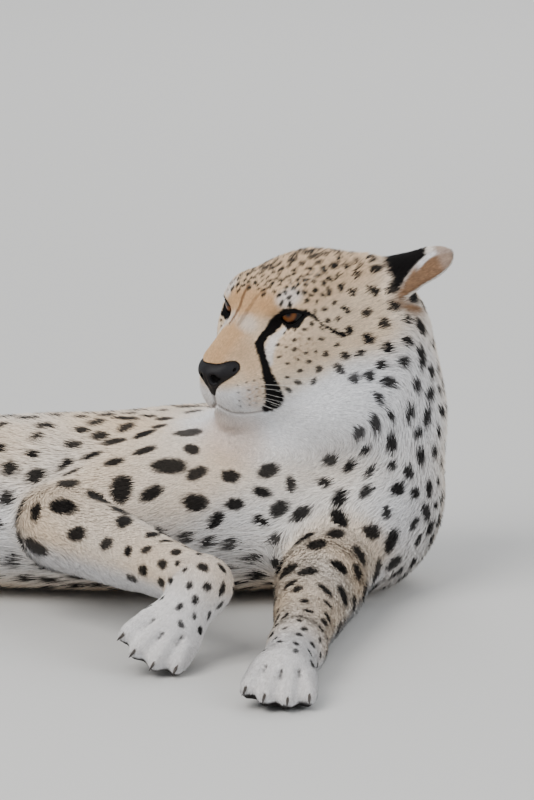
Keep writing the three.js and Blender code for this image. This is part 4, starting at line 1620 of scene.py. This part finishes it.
def claws(name, start, tips, top, look):
    """The four claws of one foot, curving down from the toes' ends."""
    tubes = []
    top = unit(top)
    t = np.linspace(0, 1, CLAW_STEPS)[:, None]
    for toe in toe_roots(start, tips, top):
        root = toe["at"] + toe["ahead"] * 9 + top * 3.5
        path = root + toe["ahead"] * 15.5 * t + top * (3.2 * t - 7.2 * t * t)
        path[:, 2] = np.maximum(path[:, 2], 1.2)
        radii = 3.6 * (1 - t[:, 0]) ** 0.6 + 0.25
        tubes.append(tube(path, radii, CLAW_SIDES, 0.62, top))
    thing = join_tubes("claws_" + name, tubes)
    horn = mix(srgb(88, 76, 64), srgb(30, 26, 24), t)
    paint(thing, even(np.repeat(horn, CLAW_SIDES, 0), 4), look)
    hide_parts(*[f"claw_{name}_{i}" for i in (1, 2, 3, 4)])


claw_look = glossy_material("horn", 0.32, 500.0, 0.0002)
for side_name, j in JOINTS.items():
    claws("fore_" + side_name, j["knuckles"], j["toes"], j["top"], claw_look)
    claws("hind_" + side_name, j["sole"], j["hind_toes"], j["hind_top"], claw_look)


def whiskers():
    """Whiskers and brow hairs, drooping towards their tips."""
    tubes = []
    for root, aim, long in WHISKERS + BROW_HAIRS:
        t = np.linspace(0, 1, 9)[:, None]
        droop = np.array([-0.32, 0, -0.10]) * long * t * t
        world = BROW + (np.array(root) + aim * long * t + droop) @ HEAD_AXES
        tubes.append(tube(world, long * 0.0016 * (1 - t[:, 0]) ** 0.8 + 0.04, 4))
    thing = join_tubes("whiskers", tubes)
    look = glossy_material("whisker_hair", 0.4, 200.0, 0, 0.95, 1.05)
    paint(thing, even(srgb(240, 238, 232), len(thing.data.vertices)), look)


whiskers()


# ---- floor, lights, camera

LIGHT_SIZE = 3.0
LOOK_AT, LOOK_DOWN = Vector((0, 0, 0.184)), math.radians(12)
CAMERA_AWAY, VIEW_TALL = 9.0, 0.777  # from what it looks at, and the height of view there


def add_floor():
    mesh = bpy.data.meshes.new("floor")
    mesh.from_pydata([(-9, -8, 0), (9, -8, 0), (9, 14, 0), (-9, 14, 0)], [], [(0, 1, 2, 3)])
    values = {"Base Color": (0.62, 0.61, 0.59, 1), "Roughness": 0.8}
    mesh.materials.append(new_material("floor_pale", values)[0])
    add_object("floor", mesh)


def add_light(name, place, aim, power, colour=(1, 1, 1)):
    light = bpy.data.lights.new(name, "AREA")
    light.size = LIGHT_SIZE
    light.energy = power
    light.color = colour
    lamp = add_object(name, light)
    lamp.location = place
    lamp.rotation_euler = (Vector(aim) - Vector(place)).to_track_quat("-Z", "Y").to_euler()


def add_world():
    """A pale, even light from all round."""
    world = bpy.data.worlds.new("studio")
    world.use_nodes = True
    background = world.node_tree.nodes["Background"]
    set_inputs(background, {"Color": (0.86, 0.90, 0.95, 1), "Strength": 0.64})
    bpy.context.scene.world = world


def add_camera():
    """Looks along +Y and a little down."""
    data = bpy.data.cameras.new("camera")
    data.sensor_fit = "VERTICAL"
    data.sensor_height = 24
    data.lens = 24 * CAMERA_AWAY / VIEW_TALL
    data.clip_end = 60
    camera = add_object("camera", data)
    back = Vector((0, -math.cos(LOOK_DOWN), math.sin(LOOK_DOWN)))
    camera.location = LOOK_AT + back * CAMERA_AWAY
    camera.rotation_euler = (LOOK_AT - camera.location).to_track_quat("-Z", "Y").to_euler()
    bpy.context.scene.camera = camera


add_floor()
add_light("key", (-2.2, -2.4, 3.4), (0, 0, 0.1), 185, (1.0, 0.98, 0.95))
add_light("fill", (3.2, -2.6, 2.0), (0, 0, 0.1), 72, (0.94, 0.97, 1.0))
add_light("rim", (0.5, 3.4, 2.6), (-0.3, 0, 0.1), 80)
add_world()
add_camera()
